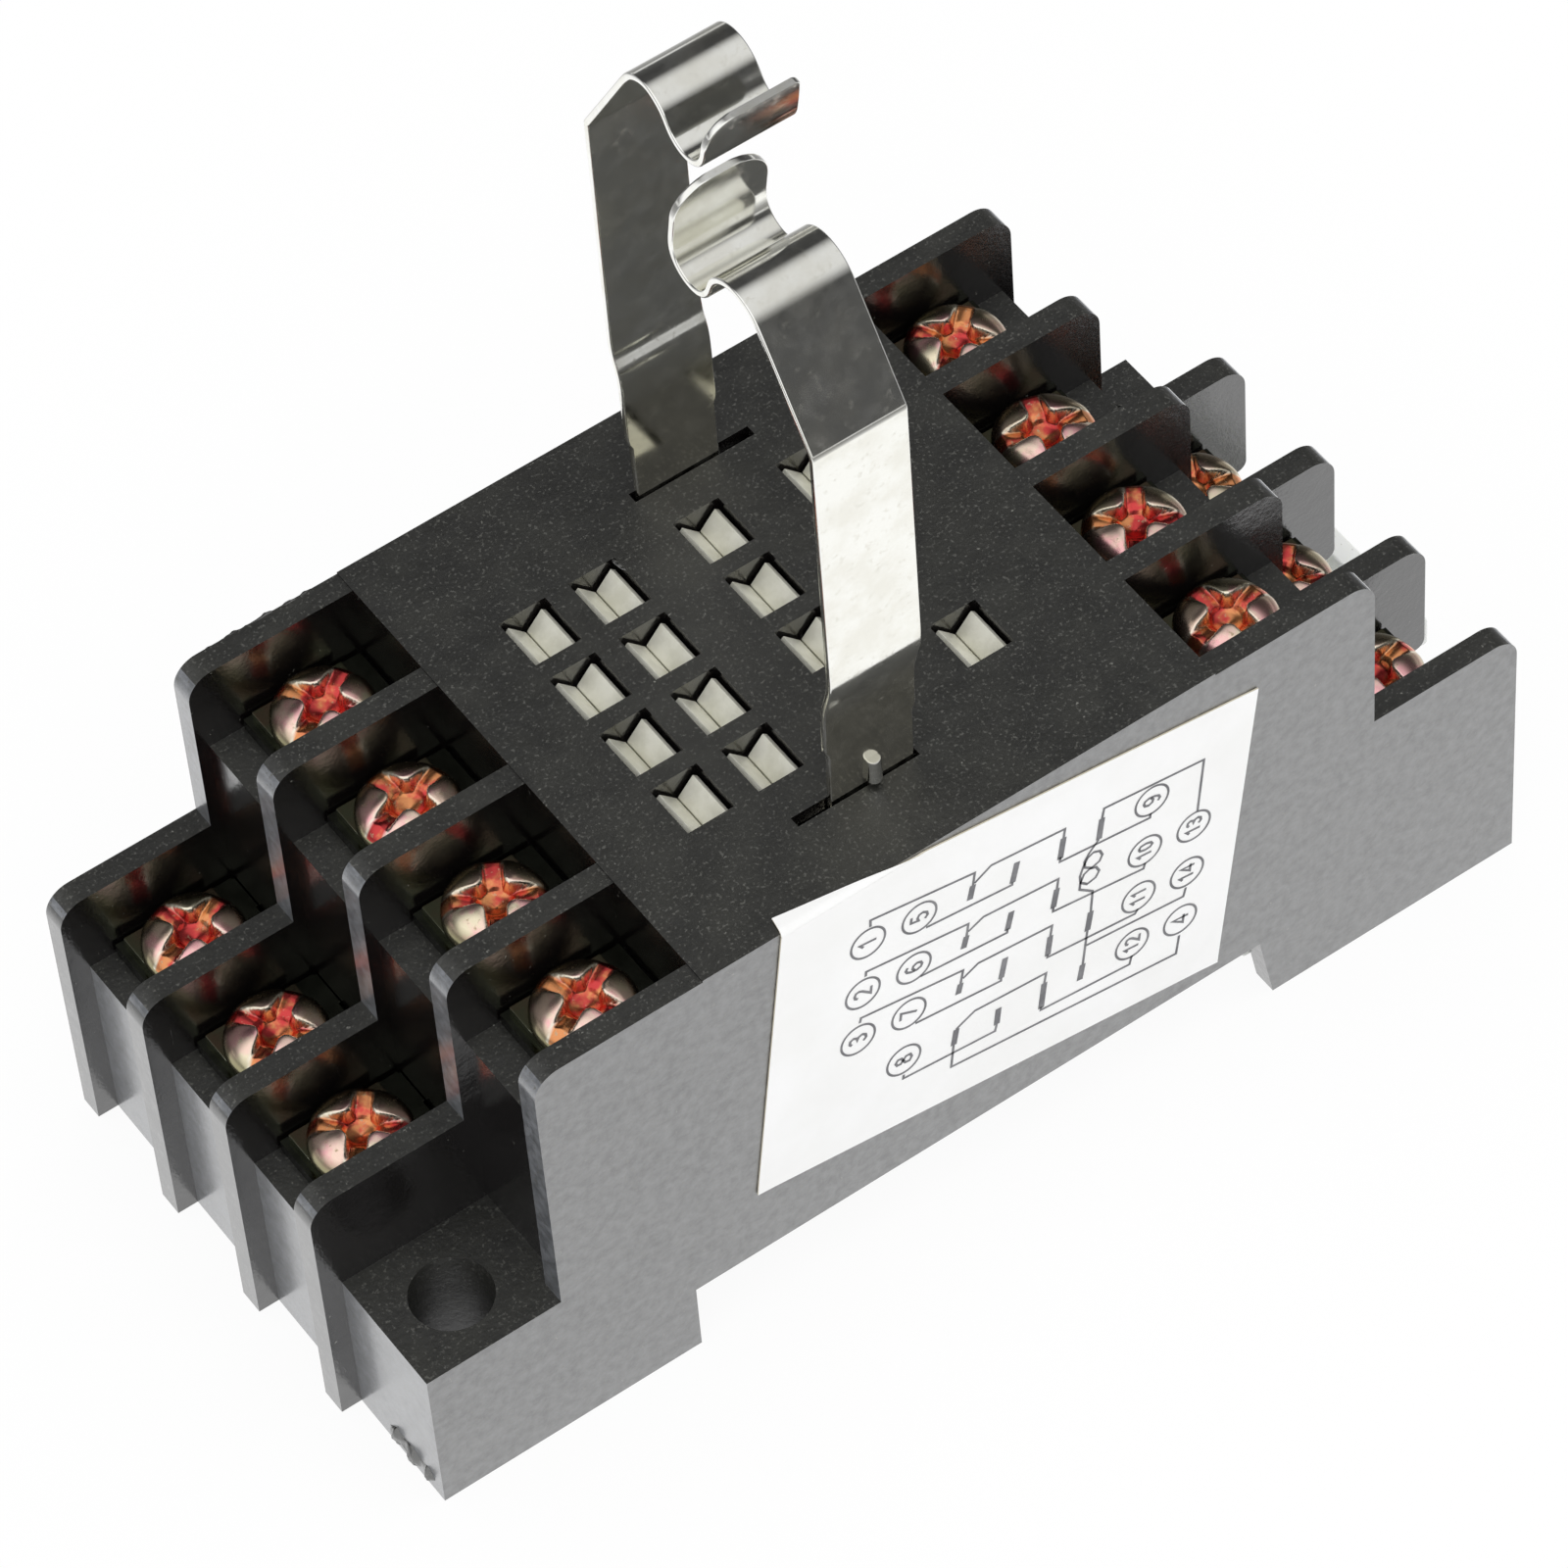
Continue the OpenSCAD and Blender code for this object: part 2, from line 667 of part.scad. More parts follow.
module screw(n) {
    head_r = head_d / 2;
    dome_r = (head_r * head_r + (head_h - rim_h) * (head_h - rim_h)) / (2 * (head_h - rim_h));
    color("#cf9f8c")
        translate([screw_x(n), comp_of(n), plate_z(n) + washer_t])
            rotate(turns[n - 1]) {
                difference() {
                    intersection() {
                        cylinder(d = head_d, h = head_h);
                        translate([0, 0, head_h - dome_r])
                            sphere(dome_r);
                    }
                    translate([-slot_half, -recess_w / 2, head_h - recess_d])
                        cube([2 * slot_half, recess_w, recess_d + cut]);
                    translate([-recess_w / 2, -cross_half, head_h - recess_d])
                        cube([recess_w, 2 * cross_half, recess_d + cut]);
                }
                translate([0, 0, -shank_l])
                    cylinder(d = shank_d, h = shank_l + 0.1);
            }
}

housing();
bottom_cover();
label();
rail_latch();
clip_near();
clip_far();
terminal(1);  // terminal_1
terminal(2);  // terminal_2
terminal(3);  // terminal_3
terminal(4);  // terminal_4
terminal(5);  // terminal_5
terminal(6);  // terminal_6
terminal(7);  // terminal_7
terminal(8);  // terminal_8
terminal(9);  // terminal_9
terminal(10);  // terminal_10
terminal(11);  // terminal_11
terminal(12);  // terminal_12
terminal(13);  // terminal_13
terminal(14);  // terminal_14
washer(1);  // washer_1
washer(2);  // washer_2
washer(3);  // washer_3
washer(4);  // washer_4
washer(5);  // washer_5
washer(6);  // washer_6
washer(7);  // washer_7
washer(8);  // washer_8
washer(9);  // washer_9
washer(10);  // washer_10
washer(11);  // washer_11
washer(12);  // washer_12
washer(13);  // washer_13
washer(14);  // washer_14
screw(1);  // screw_1
screw(2);  // screw_2
screw(3);  // screw_3
screw(4);  // screw_4
screw(5);  // screw_5
screw(6);  // screw_6
screw(7);  // screw_7
screw(8);  // screw_8
screw(9);  // screw_9
screw(10);  // screw_10
screw(11);  // screw_11
screw(12);  // screw_12
screw(13);  // screw_13
screw(14);  // screw_14
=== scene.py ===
import math

import bmesh
import bpy
from mathutils import Matrix, Vector, noise


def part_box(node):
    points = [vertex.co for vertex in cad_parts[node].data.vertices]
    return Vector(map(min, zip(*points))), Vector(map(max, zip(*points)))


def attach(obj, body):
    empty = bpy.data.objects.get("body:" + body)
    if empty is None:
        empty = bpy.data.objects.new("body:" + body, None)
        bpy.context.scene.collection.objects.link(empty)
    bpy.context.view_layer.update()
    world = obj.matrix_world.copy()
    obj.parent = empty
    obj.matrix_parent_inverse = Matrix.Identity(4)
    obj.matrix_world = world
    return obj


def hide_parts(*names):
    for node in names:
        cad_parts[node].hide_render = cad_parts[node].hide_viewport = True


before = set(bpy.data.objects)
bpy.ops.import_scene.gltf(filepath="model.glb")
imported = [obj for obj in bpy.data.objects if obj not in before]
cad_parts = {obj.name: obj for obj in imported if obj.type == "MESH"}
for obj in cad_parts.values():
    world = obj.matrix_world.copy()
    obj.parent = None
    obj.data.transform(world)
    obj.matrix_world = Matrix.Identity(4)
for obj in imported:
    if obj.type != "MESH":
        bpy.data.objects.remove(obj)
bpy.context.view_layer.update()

print("frame loaded")

mm = 0.001

cameraSettings = {
    "place": (-133.815, -219.499, 345.981),      # millimetres, as is the point it looks at
    "aim": (-29.05, -47.475, 87.401),
    "roll": -0.08685,
    "lens": 189.04,
    "sensor": 36.0,
    "reach": (0.01, 20),                         # metres
}


def makeCamera(s):
    place, aim = Vector(s["place"]) * mm, Vector(s["aim"]) * mm
    back = (place - aim).normalized()
    flatRight = Vector((0, 0, 1)).cross(back).normalized()
    flatUp = back.cross(flatRight)
    c, k = math.cos(s["roll"]), math.sin(s["roll"])
    right = flatRight * c + flatUp * k
    up = flatUp * c - flatRight * k
    data = bpy.data.cameras.new("studioCamera")
    data.lens, data.sensor_width = s["lens"], s["sensor"]
    data.clip_start, data.clip_end = s["reach"]
    obj = bpy.data.objects.new("studioCamera", data)
    bpy.context.scene.collection.objects.link(obj)
    turn = Matrix((right, up, back)).transposed().to_4x4()
    obj.matrix_world = Matrix.Translation(place) @ turn
    bpy.context.scene.camera = obj


def feed(tree, given, socket):
    # another node's output is linked, a number or a colour is set on the socket
    if isinstance(given, bpy.types.NodeSocket):
        tree.links.new(given, socket)
    elif socket.type == "RGBA":
        socket.default_value = (*given, 1)
    else:
        socket.default_value = given


def newNode(tree, kind, place, feeds=None, **values):
    node = tree.nodes.new(kind)
    node.location = place
    for key, value in values.items():
        setattr(node, key, value)
    for key, given in (feeds or {}).items():
        feed(tree, given, node.inputs[key])
    return node


def mathNode(tree, kind, given, place):
    return newNode(tree, "ShaderNodeMath", place, dict(enumerate(given)), operation=kind).outputs[0]


def rampNode(tree, value, rows, place):
    node = newNode(tree, "ShaderNodeValToRGB", place, {0: value})
    stops = node.color_ramp.elements
    for at, grey in rows[2:]:            # a new ramp has two stops already
        stops.new(at)
    for stop, (at, grey) in zip(stops, rows):
        stop.position, stop.color = at, (grey, grey, grey, 1)
    return node.outputs[0]


def mixShader(tree, mask, first, second, place):
    return newNode(tree, "ShaderNodeMixShader", place, {0: mask, 1: first, 2: second}).outputs[0]


def mirrorRays(tree, path, place):
    # rays that leave a shiny or a clear surface
    rays = (path.outputs["Is Glossy Ray"], path.outputs["Is Transmission Ray"])
    return mathNode(tree, "MAXIMUM", rays, place)


lightSettings = {
    "sky": 0.84,             # world strength for diffuse light
    "mirror": [              # what metal sees: height of the direction, grey
        (0.47, 0.90), (0.50, 0.78), (0.54, 0.52), (0.575, 0.08), (0.75, 0.045),
        (1.0, 0.045)],
    "panels": [              # soft panels: direction, dot product at the rim and inside, grey
        ((-0.66, -0.42, 0.62), 0.40, 0.72, 1.0),
        ((0.27, -0.25, 0.93), 0.64, 0.97, 0.70)],
    "lamps": [               # name, place in metres, size, watts
        ("softFront", (-0.38, -0.60, 0.72), 0.80, 2.2),
        ("softTop", (0.22, -0.16, 0.80), 0.30, 0.8)],
    "middle": (0, 0, 15 * mm),          # the point that the lamps face
}


def makeWorld(s):
    world = bpy.data.worlds.new("studioSky")
    bpy.context.scene.world = world
    world.use_nodes = True
    tree = world.node_tree
    tree.nodes.clear()
    lit = newNode(tree, "ShaderNodeBackground", (200, -200), {"Color": (1, 1, 1), "Strength": s["sky"]})
    shown = newNode(tree, "ShaderNodeBackground", (200, 100), {"Color": (1, 1, 1), "Strength": 1.0})
    path = newNode(tree, "ShaderNodeLightPath", (-400, 300))
    toward = newNode(tree, "ShaderNodeTexCoord", (-700, -50)).outputs["Generated"]
    split = newNode(tree, "ShaderNodeSeparateXYZ", (-550, -50), {0: toward})
    height = newNode(tree, "ShaderNodeMapRange", (-400, -50), {"Value": split.outputs["Z"], "From Min": -1.0})
    seen = rampNode(tree, height.outputs[0], s["mirror"], (-200, -50))
    for k, (aim, rim, inside, grey) in enumerate(s["panels"]):
        facing = newNode(tree, "ShaderNodeVectorMath", (-400, -350 - 250 * k),
                         {0: toward, 1: Vector(aim).normalized()}, operation="DOT_PRODUCT")
        feeds = {"Value": facing.outputs["Value"], "From Min": rim, "From Max": inside, "To Max": grey}
        panel = newNode(tree, "ShaderNodeMapRange", (-200, -350 - 250 * k), feeds,
                        interpolation_type="SMOOTHSTEP")
        seen = newNode(tree, "ShaderNodeMix", (k * 150, -250), {0: 1.0, 6: seen, 7: panel.outputs[0]},
                       data_type="RGBA", blend_type="LIGHTEN").outputs[2]
    mirrored = newNode(tree, "ShaderNodeBackground", (200, -50), {"Color": seen, "Strength": 1.0})
    bounced = mirrorRays(tree, path, (-150, 250))
    rest = mixShader(tree, bounced, lit.outputs[0], mirrored.outputs[0], (400, -100))
    every = mixShader(tree, path.outputs["Is Camera Ray"], rest, shown.outputs[0], (600, 0))
    newNode(tree, "ShaderNodeOutputWorld", (800, 0), {0: every})


def makeLamps(s):
    for name, place, size, watts in s["lamps"]:
        data = bpy.data.lights.new(name, "AREA")
        data.shape, data.size, data.energy = "DISK", size, watts
        obj = bpy.data.objects.new(name, data)
        bpy.context.scene.collection.objects.link(obj)
        obj.location = place
        obj.rotation_mode = "QUATERNION"
        obj.rotation_quaternion = (Vector(place) - Vector(s["middle"])).to_track_quat("Z", "Y")
        obj.visible_glossy = False      # reflections come from the world


floorSettings = {
    "half": 2.5,
    "colour": (0.95, 0.95, 0.95),
    "ownWhite": 0.93,        # share of plain white that the camera sees
    "pad": [(0.16, 1.0), (0.25, 0.58), (0.42, 0.34), (1.0, 0.25)],      # share of the reach, grey
    "padReach": 0.4,
}


def makeFloor(s):
    mesh = bpy.data.meshes.new("studioFloor")
    h = s["half"]
    mesh.from_pydata([(-h, -h, 0), (h, -h, 0), (h, h, 0), (-h, h, 0)], [], [(0, 1, 2, 3)])
    obj = bpy.data.objects.new("studioFloor", mesh)
    bpy.context.scene.collection.objects.link(obj)
    mat = bpy.data.materials.new("paleFloor")
    mat.use_nodes = True
    tree = mat.node_tree
    tree.nodes.clear()
    paper = newNode(tree, "ShaderNodeBsdfDiffuse", (0, 0), {"Color": s["colour"]})
    glow = newNode(tree, "ShaderNodeEmission", (0, -150), {"Strength": 1.0})
    path = newNode(tree, "ShaderNodeLightPath", (-600, 300))
    own = mathNode(tree, "MULTIPLY", (path.outputs["Is Camera Ray"], s["ownWhite"]), (0, 300))
    lit = mixShader(tree, own, paper.outputs[0], glow.outputs[0], (300, 0))
    # metal sees a white pad round the socket, which ends a little way off
    where = newNode(tree, "ShaderNodeTexCoord", (-800, -300)).outputs["Object"]
    reach = newNode(tree, "ShaderNodeVectorMath", (-600, -300), {0: where}, operation="LENGTH")
    share = mathNode(tree, "DIVIDE", (reach.outputs["Value"], s["padReach"]), (-450, -300))
    pad = rampNode(tree, share, s["pad"], (-300, -300))
    mirrored = newNode(tree, "ShaderNodeEmission", (0, -300), {"Color": pad})
    every = mixShader(tree, mirrorRays(tree, path, (0, 150)), lit, mirrored.outputs[0], (550, 0))
    newNode(tree, "ShaderNodeOutputMaterial", (800, 0), {0: every})
    mesh.materials.append(mat)


makeCamera(cameraSettings)
makeWorld(lightSettings)
makeLamps(lightSettings)
makeFloor(floorSettings)
bpy.context.scene.view_settings.view_transform = "Standard"
print("camera, floor and light ready")

effectSettings = {
    # noise detail and roughness
    "cloud": (4.0, 0.6),
    "grain": (2.0, 0.6),
    "wave": (2.0, 0.5),
    "break": (4.0, 0.65),
    "waveScale": 0.12,       # of the grain's own
    "waveHeight": 3.0,
    "breakCut": (0.36, 0.62),
}


def newGroup(name, inputs):
    tree = bpy.data.node_groups.new(name, "ShaderNodeTree")
    for label, value in inputs.items():
        socket = tree.interface.new_socket(label, in_out="INPUT", socket_type="NodeSocketFloat")
        socket.default_value = value
    return tree, newNode(tree, "NodeGroupInput", (-900, 0)).outputs


def closeGroup(tree, label, kind, value):
    tree.interface.new_socket(label, in_out="OUTPUT", socket_type=kind)
    newNode(tree, "NodeGroupOutput", (900, 0), {0: value})
    return tree


def noiseNode(tree, scale, look, place):
    where = newNode(tree, "ShaderNodeTexCoord", (place[0] - 400, place[1])).outputs["Object"]
    feeds = {"Vector": where, "Scale": scale, "Detail": look[0], "Roughness": look[1]}
    return newNode(tree, "ShaderNodeTexNoise", place, feeds).outputs["Fac"]


def rangeNode(tree, value, low, high, place):
    feeds = {"Value": value, "From Min": low, "From Max": high}
    return newNode(tree, "ShaderNodeMapRange", place, feeds, interpolation_type="SMOOTHSTEP").outputs[0]


def meshValue(tree, name, place):
    return newNode(tree, "ShaderNodeAttribute", place, attribute_name=name).outputs["Fac"]


def makeCloudGroup(s):
    tree, given = newGroup("cloudyPatches", {"Patches per metre": 200.0, "Low": 0.4, "High": 0.6})
    clouds = noiseNode(tree, given[0], s["cloud"], (-300, 0))
    return closeGroup(tree, "Mask", "NodeSocketFloat", rangeNode(tree, clouds, given[1], given[2], (300, 0)))


def makeGrainGroup(s):
    tree, given = newGroup("mouldedGrain", {"Grains per metre": 4000.0, "Depth": 0.02, "Strength": 0.4})
    fine = noiseNode(tree, given[0], s["grain"], (-500, 0))
    wide = mathNode(tree, "MULTIPLY", (given[0], s["waveScale"]), (-700, -250))
    waves = noiseNode(tree, wide, s["wave"], (-500, -250))
    both = mathNode(tree, "MULTIPLY_ADD", (waves, s["waveHeight"], fine), (-200, -100))
    feeds = {"Strength": given[2], "Distance": given[1], "Height": both}
    bump = newNode(tree, "ShaderNodeBump", (300, 0), feeds)
    return closeGroup(tree, "Normal", "NodeSocketVector", bump.outputs[0])


# wear on the bevelled edges, partly a painted edge highlight: the bevels are painted lighter
def makeWearGroup(s):
    tree, given = newGroup("edgeWearAndHighlight", {"Amount": 0.6, "Breaks per metre": 500.0})
    edge = meshValue(tree, "softEdge", (-900, 300))
    breaks = noiseNode(tree, given[1], s["break"], (-500, 0))
    cut = rangeNode(tree, breaks, *s["breakCut"], (-200, 0))
    wornAndHighlight = mathNode(tree, "MULTIPLY", (edge, cut), (100, 100))
    wornAndHighlight = mathNode(tree, "MULTIPLY", (wornAndHighlight, given[0]), (400, 100))
    return closeGroup(tree, "Mask", "NodeSocketFloat", wornAndHighlight)


cloudGroup = makeCloudGroup(effectSettings)
grainGroup = makeGrainGroup(effectSettings)
wearAndHighlightGroup = makeWearGroup(effectSettings)


def useGroup(tree, group, given, place):
    # clouds take patches per metre and where the noise starts and ends, edge wear and highlight its amount
    # and breaks per metre, and grain its grains per metre, depth and strength
    return newNode(tree, "ShaderNodeGroup", place, node_tree=group, feeds=dict(enumerate(given))).outputs[0]


def newMaterial(name):
    mat = bpy.data.materials.new(name)
    mat.use_nodes = True
    return mat, mat.node_tree


def mixColour(tree, mask, first, second, place):
    return newNode(tree, "ShaderNodeMix", place, {0: mask, 6: first, 7: second}, data_type="RGBA").outputs[2]


def mixValue(tree, mask, first, second, place):
    return newNode(tree, "ShaderNodeMix", place, {0: mask, 2: first, 3: second}, data_type="FLOAT").outputs[0]


def setSurface(mat, feeds):
    shader = mat.node_tree.nodes["Principled BSDF"]
    for key, given in feeds.items():
        feed(mat.node_tree, given, shader.inputs[key])
    return mat


def linkPiece(name, mesh, body, *nodes):
    obj = bpy.data.objects.new(name, mesh)
    bpy.context.scene.collection.objects.link(obj)
    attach(obj, body)
    if nodes:
        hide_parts(*nodes)
    return obj


def clamp(value):
    return min(max(value, 0.0), 1.0)


softSettings = {
    "merge": 2e-6,           # metres between points that become one
    "flat": 0.6,             # degrees between faces that become one
    "sharp": 30,             # degrees from which an edge is rounded
    "blend": 62,             # degrees over which a rounded edge blends
}


def flatNormals(bm, edge, degrees=30):
    # flat faces keep their own normal, rounded edges blend between their neighbours
    least, wide = math.cos(math.radians(degrees)), math.cos(math.radians(softSettings["blend"]))
    near = {v.index: [(f.normal.copy(), f.calc_area(), f[edge] > 0.5) for f in v.link_faces]
            for v in bm.verts}

    def blend(normal, around, rounded, limit):
        total = Vector((0, 0, 0))
        for n, area, other in around:
            if other == rounded and n.dot(normal) > limit:
                total += n * area
        return total

    tiny, result = 1e-16, []
    for f in bm.faces:
        rounded = f[edge] > 0.5
        for loop in f.loops:
            around = near[loop.vert.index]
            total = blend(f.normal, around, False, wide if rounded else least)
            if rounded and total.length < tiny:
                total = blend(f.normal, around, True, wide)
            result.append(tuple(total.normalized() if total.length > tiny else f.normal))
    return result


def softCopy(node, body, width, segments=2, rules=None):
    s = softSettings
    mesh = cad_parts[node].data.copy()
    mesh.name = node + "Soft"
    bm = bmesh.new()
    bm.from_mesh(mesh)
    bmesh.ops.remove_doubles(bm, verts=bm.verts, dist=s["merge"])
    bmesh.ops.dissolve_limit(bm, angle_limit=math.radians(s["flat"]), verts=bm.verts, edges=bm.edges)
    bm.normal_update()
    limit = math.radians(s["sharp"])
    sharp = [e for e in bm.edges if len(e.link_faces) == 2 and e.calc_face_angle(0) > limit]
    made = bmesh.ops.bevel(bm, geom=sharp, offset=width, offset_type="OFFSET", segments=segments,
                           profile=0.5, affect="EDGES", clamp_overlap=True)
    edge = bm.faces.layers.float.new("softEdge")
    for f in made["faces"]:
        if f.is_valid:
            f[edge] = 1.0
    for name, rule in (rules or {}).items():
        layer = bm.faces.layers.float.new(name)
        for f in bm.faces:
            f[layer] = rule(f)
    for f in bm.faces:
        f.smooth = True
    bm.verts.index_update()
    bm.normal_update()
    normals = flatNormals(bm, edge)
    bm.to_mesh(mesh)
    bm.free()
    for name in ("custom_normal", "sharp_face", "sharp_edge"):
        if name in mesh.attributes:
            mesh.attributes.remove(mesh.attributes[name])
    mesh.normals_split_custom_set(normals)
    mesh.materials.clear()
    return linkPiece(node + "Soft", mesh, body, node)


housingSettings = {
    "edge": 0.13 * mm,
    "coverEdge": 0.1 * mm,
    "latchEdge": 0.15 * mm,
    "sideFrom": 15.8 * mm,                          # side walls lie beyond
    "endFrom": 24.8 * mm,                           # end walls lie beyond
    "proudFrom": 34.2 * mm,                         # barrier edges lie beyond
    "endReflectionShares": (0.95, 0.15),                       # end walls, barrier edges
    "lugBore": (29.35 * mm, 12.3 * mm, 2.3 * mm),   # place and reach
    "facing": 0.7,                                  # least share of a normal for a wall
}


def isBore(f):
    c, (x, y, reach) = f.calc_center_median(), housingSettings["lugBore"]
    return abs(f.normal.z) < 0.3 and math.hypot(abs(c.x) - x, abs(c.y) - y) < reach


# faces on the side walls, which get a painted reflection of the pale floor
def isSideWall(f):
    return float(abs(f.calc_center_median().y) > housingSettings["sideFrom"])


def isEndWall(f):
    # painted reflection of the pale floor on the end walls, weaker on the barrier edges that stand proud of
    # them
    x, s = f.calc_center_median().x, housingSettings
    if isBore(f) or abs(x) < s["endFrom"] or f.normal.x * math.copysign(1, x) < s["facing"]:
        return 0.0
    return s["endReflectionShares"][abs(x) > s["proudFrom"]]


def isTop(f):
    return float(f.normal.z > 0.6 or isBore(f))


def isInside(f):
    # faces within the terminal bays
    c, s = f.calc_center_median(), housingSettings
    outer = abs(c.y) > s["sideFrom"] or abs(f.normal.z) > s["facing"]
    outer = outer or (abs(c.x) > s["endFrom"] and abs(f.normal.x) > s["facing"])
    return float(not (outer or isBore(f)))


housingRules = {"sideWallReflection": isSideWall, "endWallReflection": isEndWall, "top": isTop, "bayShadeAndPolish": isInside}
housingBody = softCopy("housing", "base", housingSettings["edge"], rules=housingRules)
coverPlate = softCopy("bottom_cover", "base", housingSettings["coverEdge"])
latchPlate = softCopy("rail_latch", "rail_latch", housingSettings["latchEdge"], segments=3)
print("housing softened", len(housingBody.data.polygons))

blackSettings = {
    "deep": (0.007, 0.007, 0.005),
    "light": (0.016, 0.016, 0.012),
    "speck": (0.080, 0.080, 0.070),
    # painted shade: faces inside the terminal bays are painted darker
    "bay": (0.005, 0.004, 0.004),
    "dust": (0.17, 0.17, 0.15),
    "wornAndHighlight": (0.21, 0.21, 0.19),
    # painted reflection of the pale floor on the side walls, mottled
    "sideReflectionDeep": (0.020, 0.021, 0.022),
    "sideReflectionLight": (0.125, 0.129, 0.130),
    # painted reflection of the pale floor on the end walls, mottled
    "endReflectionDeep": (0.070, 0.076, 0.086),
    "endReflectionLight": (0.190, 0.200, 0.220),
    "clouds": (420.0, 0.35, 0.68),
    "mottle": (1500.0, 0.26, 0.76),
    "specks": (5200.0, 0.56, 0.68),
    "dustSpots": (2300.0, 0.705, 0.735),
    "wearAndHighlight": (0.9, 1300.0),
    "grain": (4200.0, 0.00004, 0.5),
    "rough": {"deep": 0.34, "light": 0.46, "mottle": 0.50, "bay": 0.20, "top": 0.48, "coat": 0.20},
    "coat": {"wall": 1.0, "bay": 0.45, "top": 0.0},
    "shine": {"IOR": 1.75, "Specular IOR Level": 0.7, "Coat IOR": 1.9},
}


def makeBlackPlastic(s):
    mat, tree = newMaterial("blackMoulding")
    clouds = useGroup(tree, cloudGroup, s["clouds"], (-1300, 300))
    mottle = useGroup(tree, cloudGroup, s["mottle"], (-1300, 550))
    specks = useGroup(tree, cloudGroup, s["specks"], (-1300, 50))
    dust = useGroup(tree, cloudGroup, s["dustSpots"], (-1300, -1150))
    wearAndHighlight = useGroup(tree, wearAndHighlightGroup, s["wearAndHighlight"], (-1300, -200))
    grain = useGroup(tree, grainGroup, s["grain"], (-1300, -450))
    side = meshValue(tree, "sideWallReflection", (-1300, 800))
    ends = meshValue(tree, "endWallReflection", (-1300, 1000))
    bayShadeAndPolish = meshValue(tree, "bayShadeAndPolish", (-1300, -750))
    upper = meshValue(tree, "top", (-1300, -950))
    top = mixColour(tree, clouds, s["deep"], s["light"], (-1000, 300))
    wall = mixColour(tree, mottle, s["sideReflectionDeep"], s["sideReflectionLight"], (-1000, 550))
    pale = mixColour(tree, mottle, s["endReflectionDeep"], s["endReflectionLight"], (-1000, 800))
    # painted reflection: the side walls are painted lighter than the top
    base = mixColour(tree, side, top, wall, (-800, 400))
    # painted reflection: the end walls are painted pale
    base = mixColour(tree, ends, base, pale, (-700, 400))
    base = mixColour(tree, specks, base, s["speck"], (-600, 300))
    # painted shade in the terminal bays; the same mask sets their roughness and coat
    base = mixColour(tree, bayShadeAndPolish, base, s["bay"], (-500, 250))
    base = mixColour(tree, dust, base, s["dust"], (-450, 350))
    # wear and painted edge highlight: the bevels are painted light grey
    base = mixColour(tree, wearAndHighlight, base, s["wornAndHighlight"], (-400, 200))
    dull, coated = s["rough"], s["coat"]
    rough = mixValue(tree, clouds, dull["deep"], dull["light"], (-1000, -200))
    rough = mixValue(tree, mottle, rough, dull["mottle"], (-800, -200))
    rough = mixValue(tree, bayShadeAndPolish, rough, dull["bay"], (-600, -200))
    rough = mixValue(tree, upper, rough, dull["top"], (-400, -200))
    coat = mixValue(tree, bayShadeAndPolish, coated["wall"], coated["bay"], (-600, -400))
    coat = mixValue(tree, upper, coat, coated["top"], (-400, -400))
    setSurface(mat, s["shine"])
    return setSurface(mat, {"Base Color": base, "Roughness": rough, "Coat Weight": coat,
                            "Coat Roughness": dull["coat"], "Normal": grain})


blackMoulding = makeBlackPlastic(blackSettings)
housingBody.data.materials.append(blackMoulding)
coverPlate.data.materials.append(blackMoulding)

washerSettings = {
    "edge": 0.08 * mm,
    "light": (0.17, 0.18, 0.11),
    "dark": (0.21, 0.15, 0.10),
    # painted highlight on the faces turned outboard
    "outboardHighlight": (0.86, 0.90, 0.70),
    "clouds": (500.0, 0.35, 0.65),
    "grain": (3000.0, 0.00001, 0.2),
    "rough": (0.14, 0.22),
}


def makeWasherZinc(s):
    mat, tree = newMaterial("washerZinc")
    clouds = useGroup(tree, cloudGroup, s["clouds"], (-900, 300))
    grain = useGroup(tree, grainGroup, s["grain"], (-900, -500))
    outer = meshValue(tree, "outboardHighlight", (-900, 550))
    base = mixColour(tree, clouds, s["light"], s["dark"], (-600, 300))
    # painted highlight on the outboard faces
    base = mixColour(tree, outer, base, s["outboardHighlight"], (-400, 300))
    rough = mixValue(tree, clouds, *s["rough"], (-600, 0))
    return setSurface(mat, {"Base Color": base, "Roughness": rough, "Normal": grain, "Metallic": 1.0})


# bright dull leaves in the pin wells, darker plates in the bays, where the dark is painted shade
terminalSettings = {
    "edge": 0.04 * mm,
    "leafTo": 14 * mm,
    "leafLight": (0.90, 0.89, 0.79),
    "leafDark": (0.78, 0.77, 0.66),
    "shadedPlateLight": (0.075, 0.080, 0.060),
    "shadedPlateDark": (0.045, 0.048, 0.036),
    "wornAndHighlight": (0.92, 0.92, 0.86),
    "clouds": (700.0, 0.35, 0.65),
    "wearAndHighlight": (0.8, 500.0),
    "grain": (3000.0, 0.00001, 0.2),
    "rough": (0.10, 0.42),              # plates, leaves
    "metal": (1.0, 0.35),
}


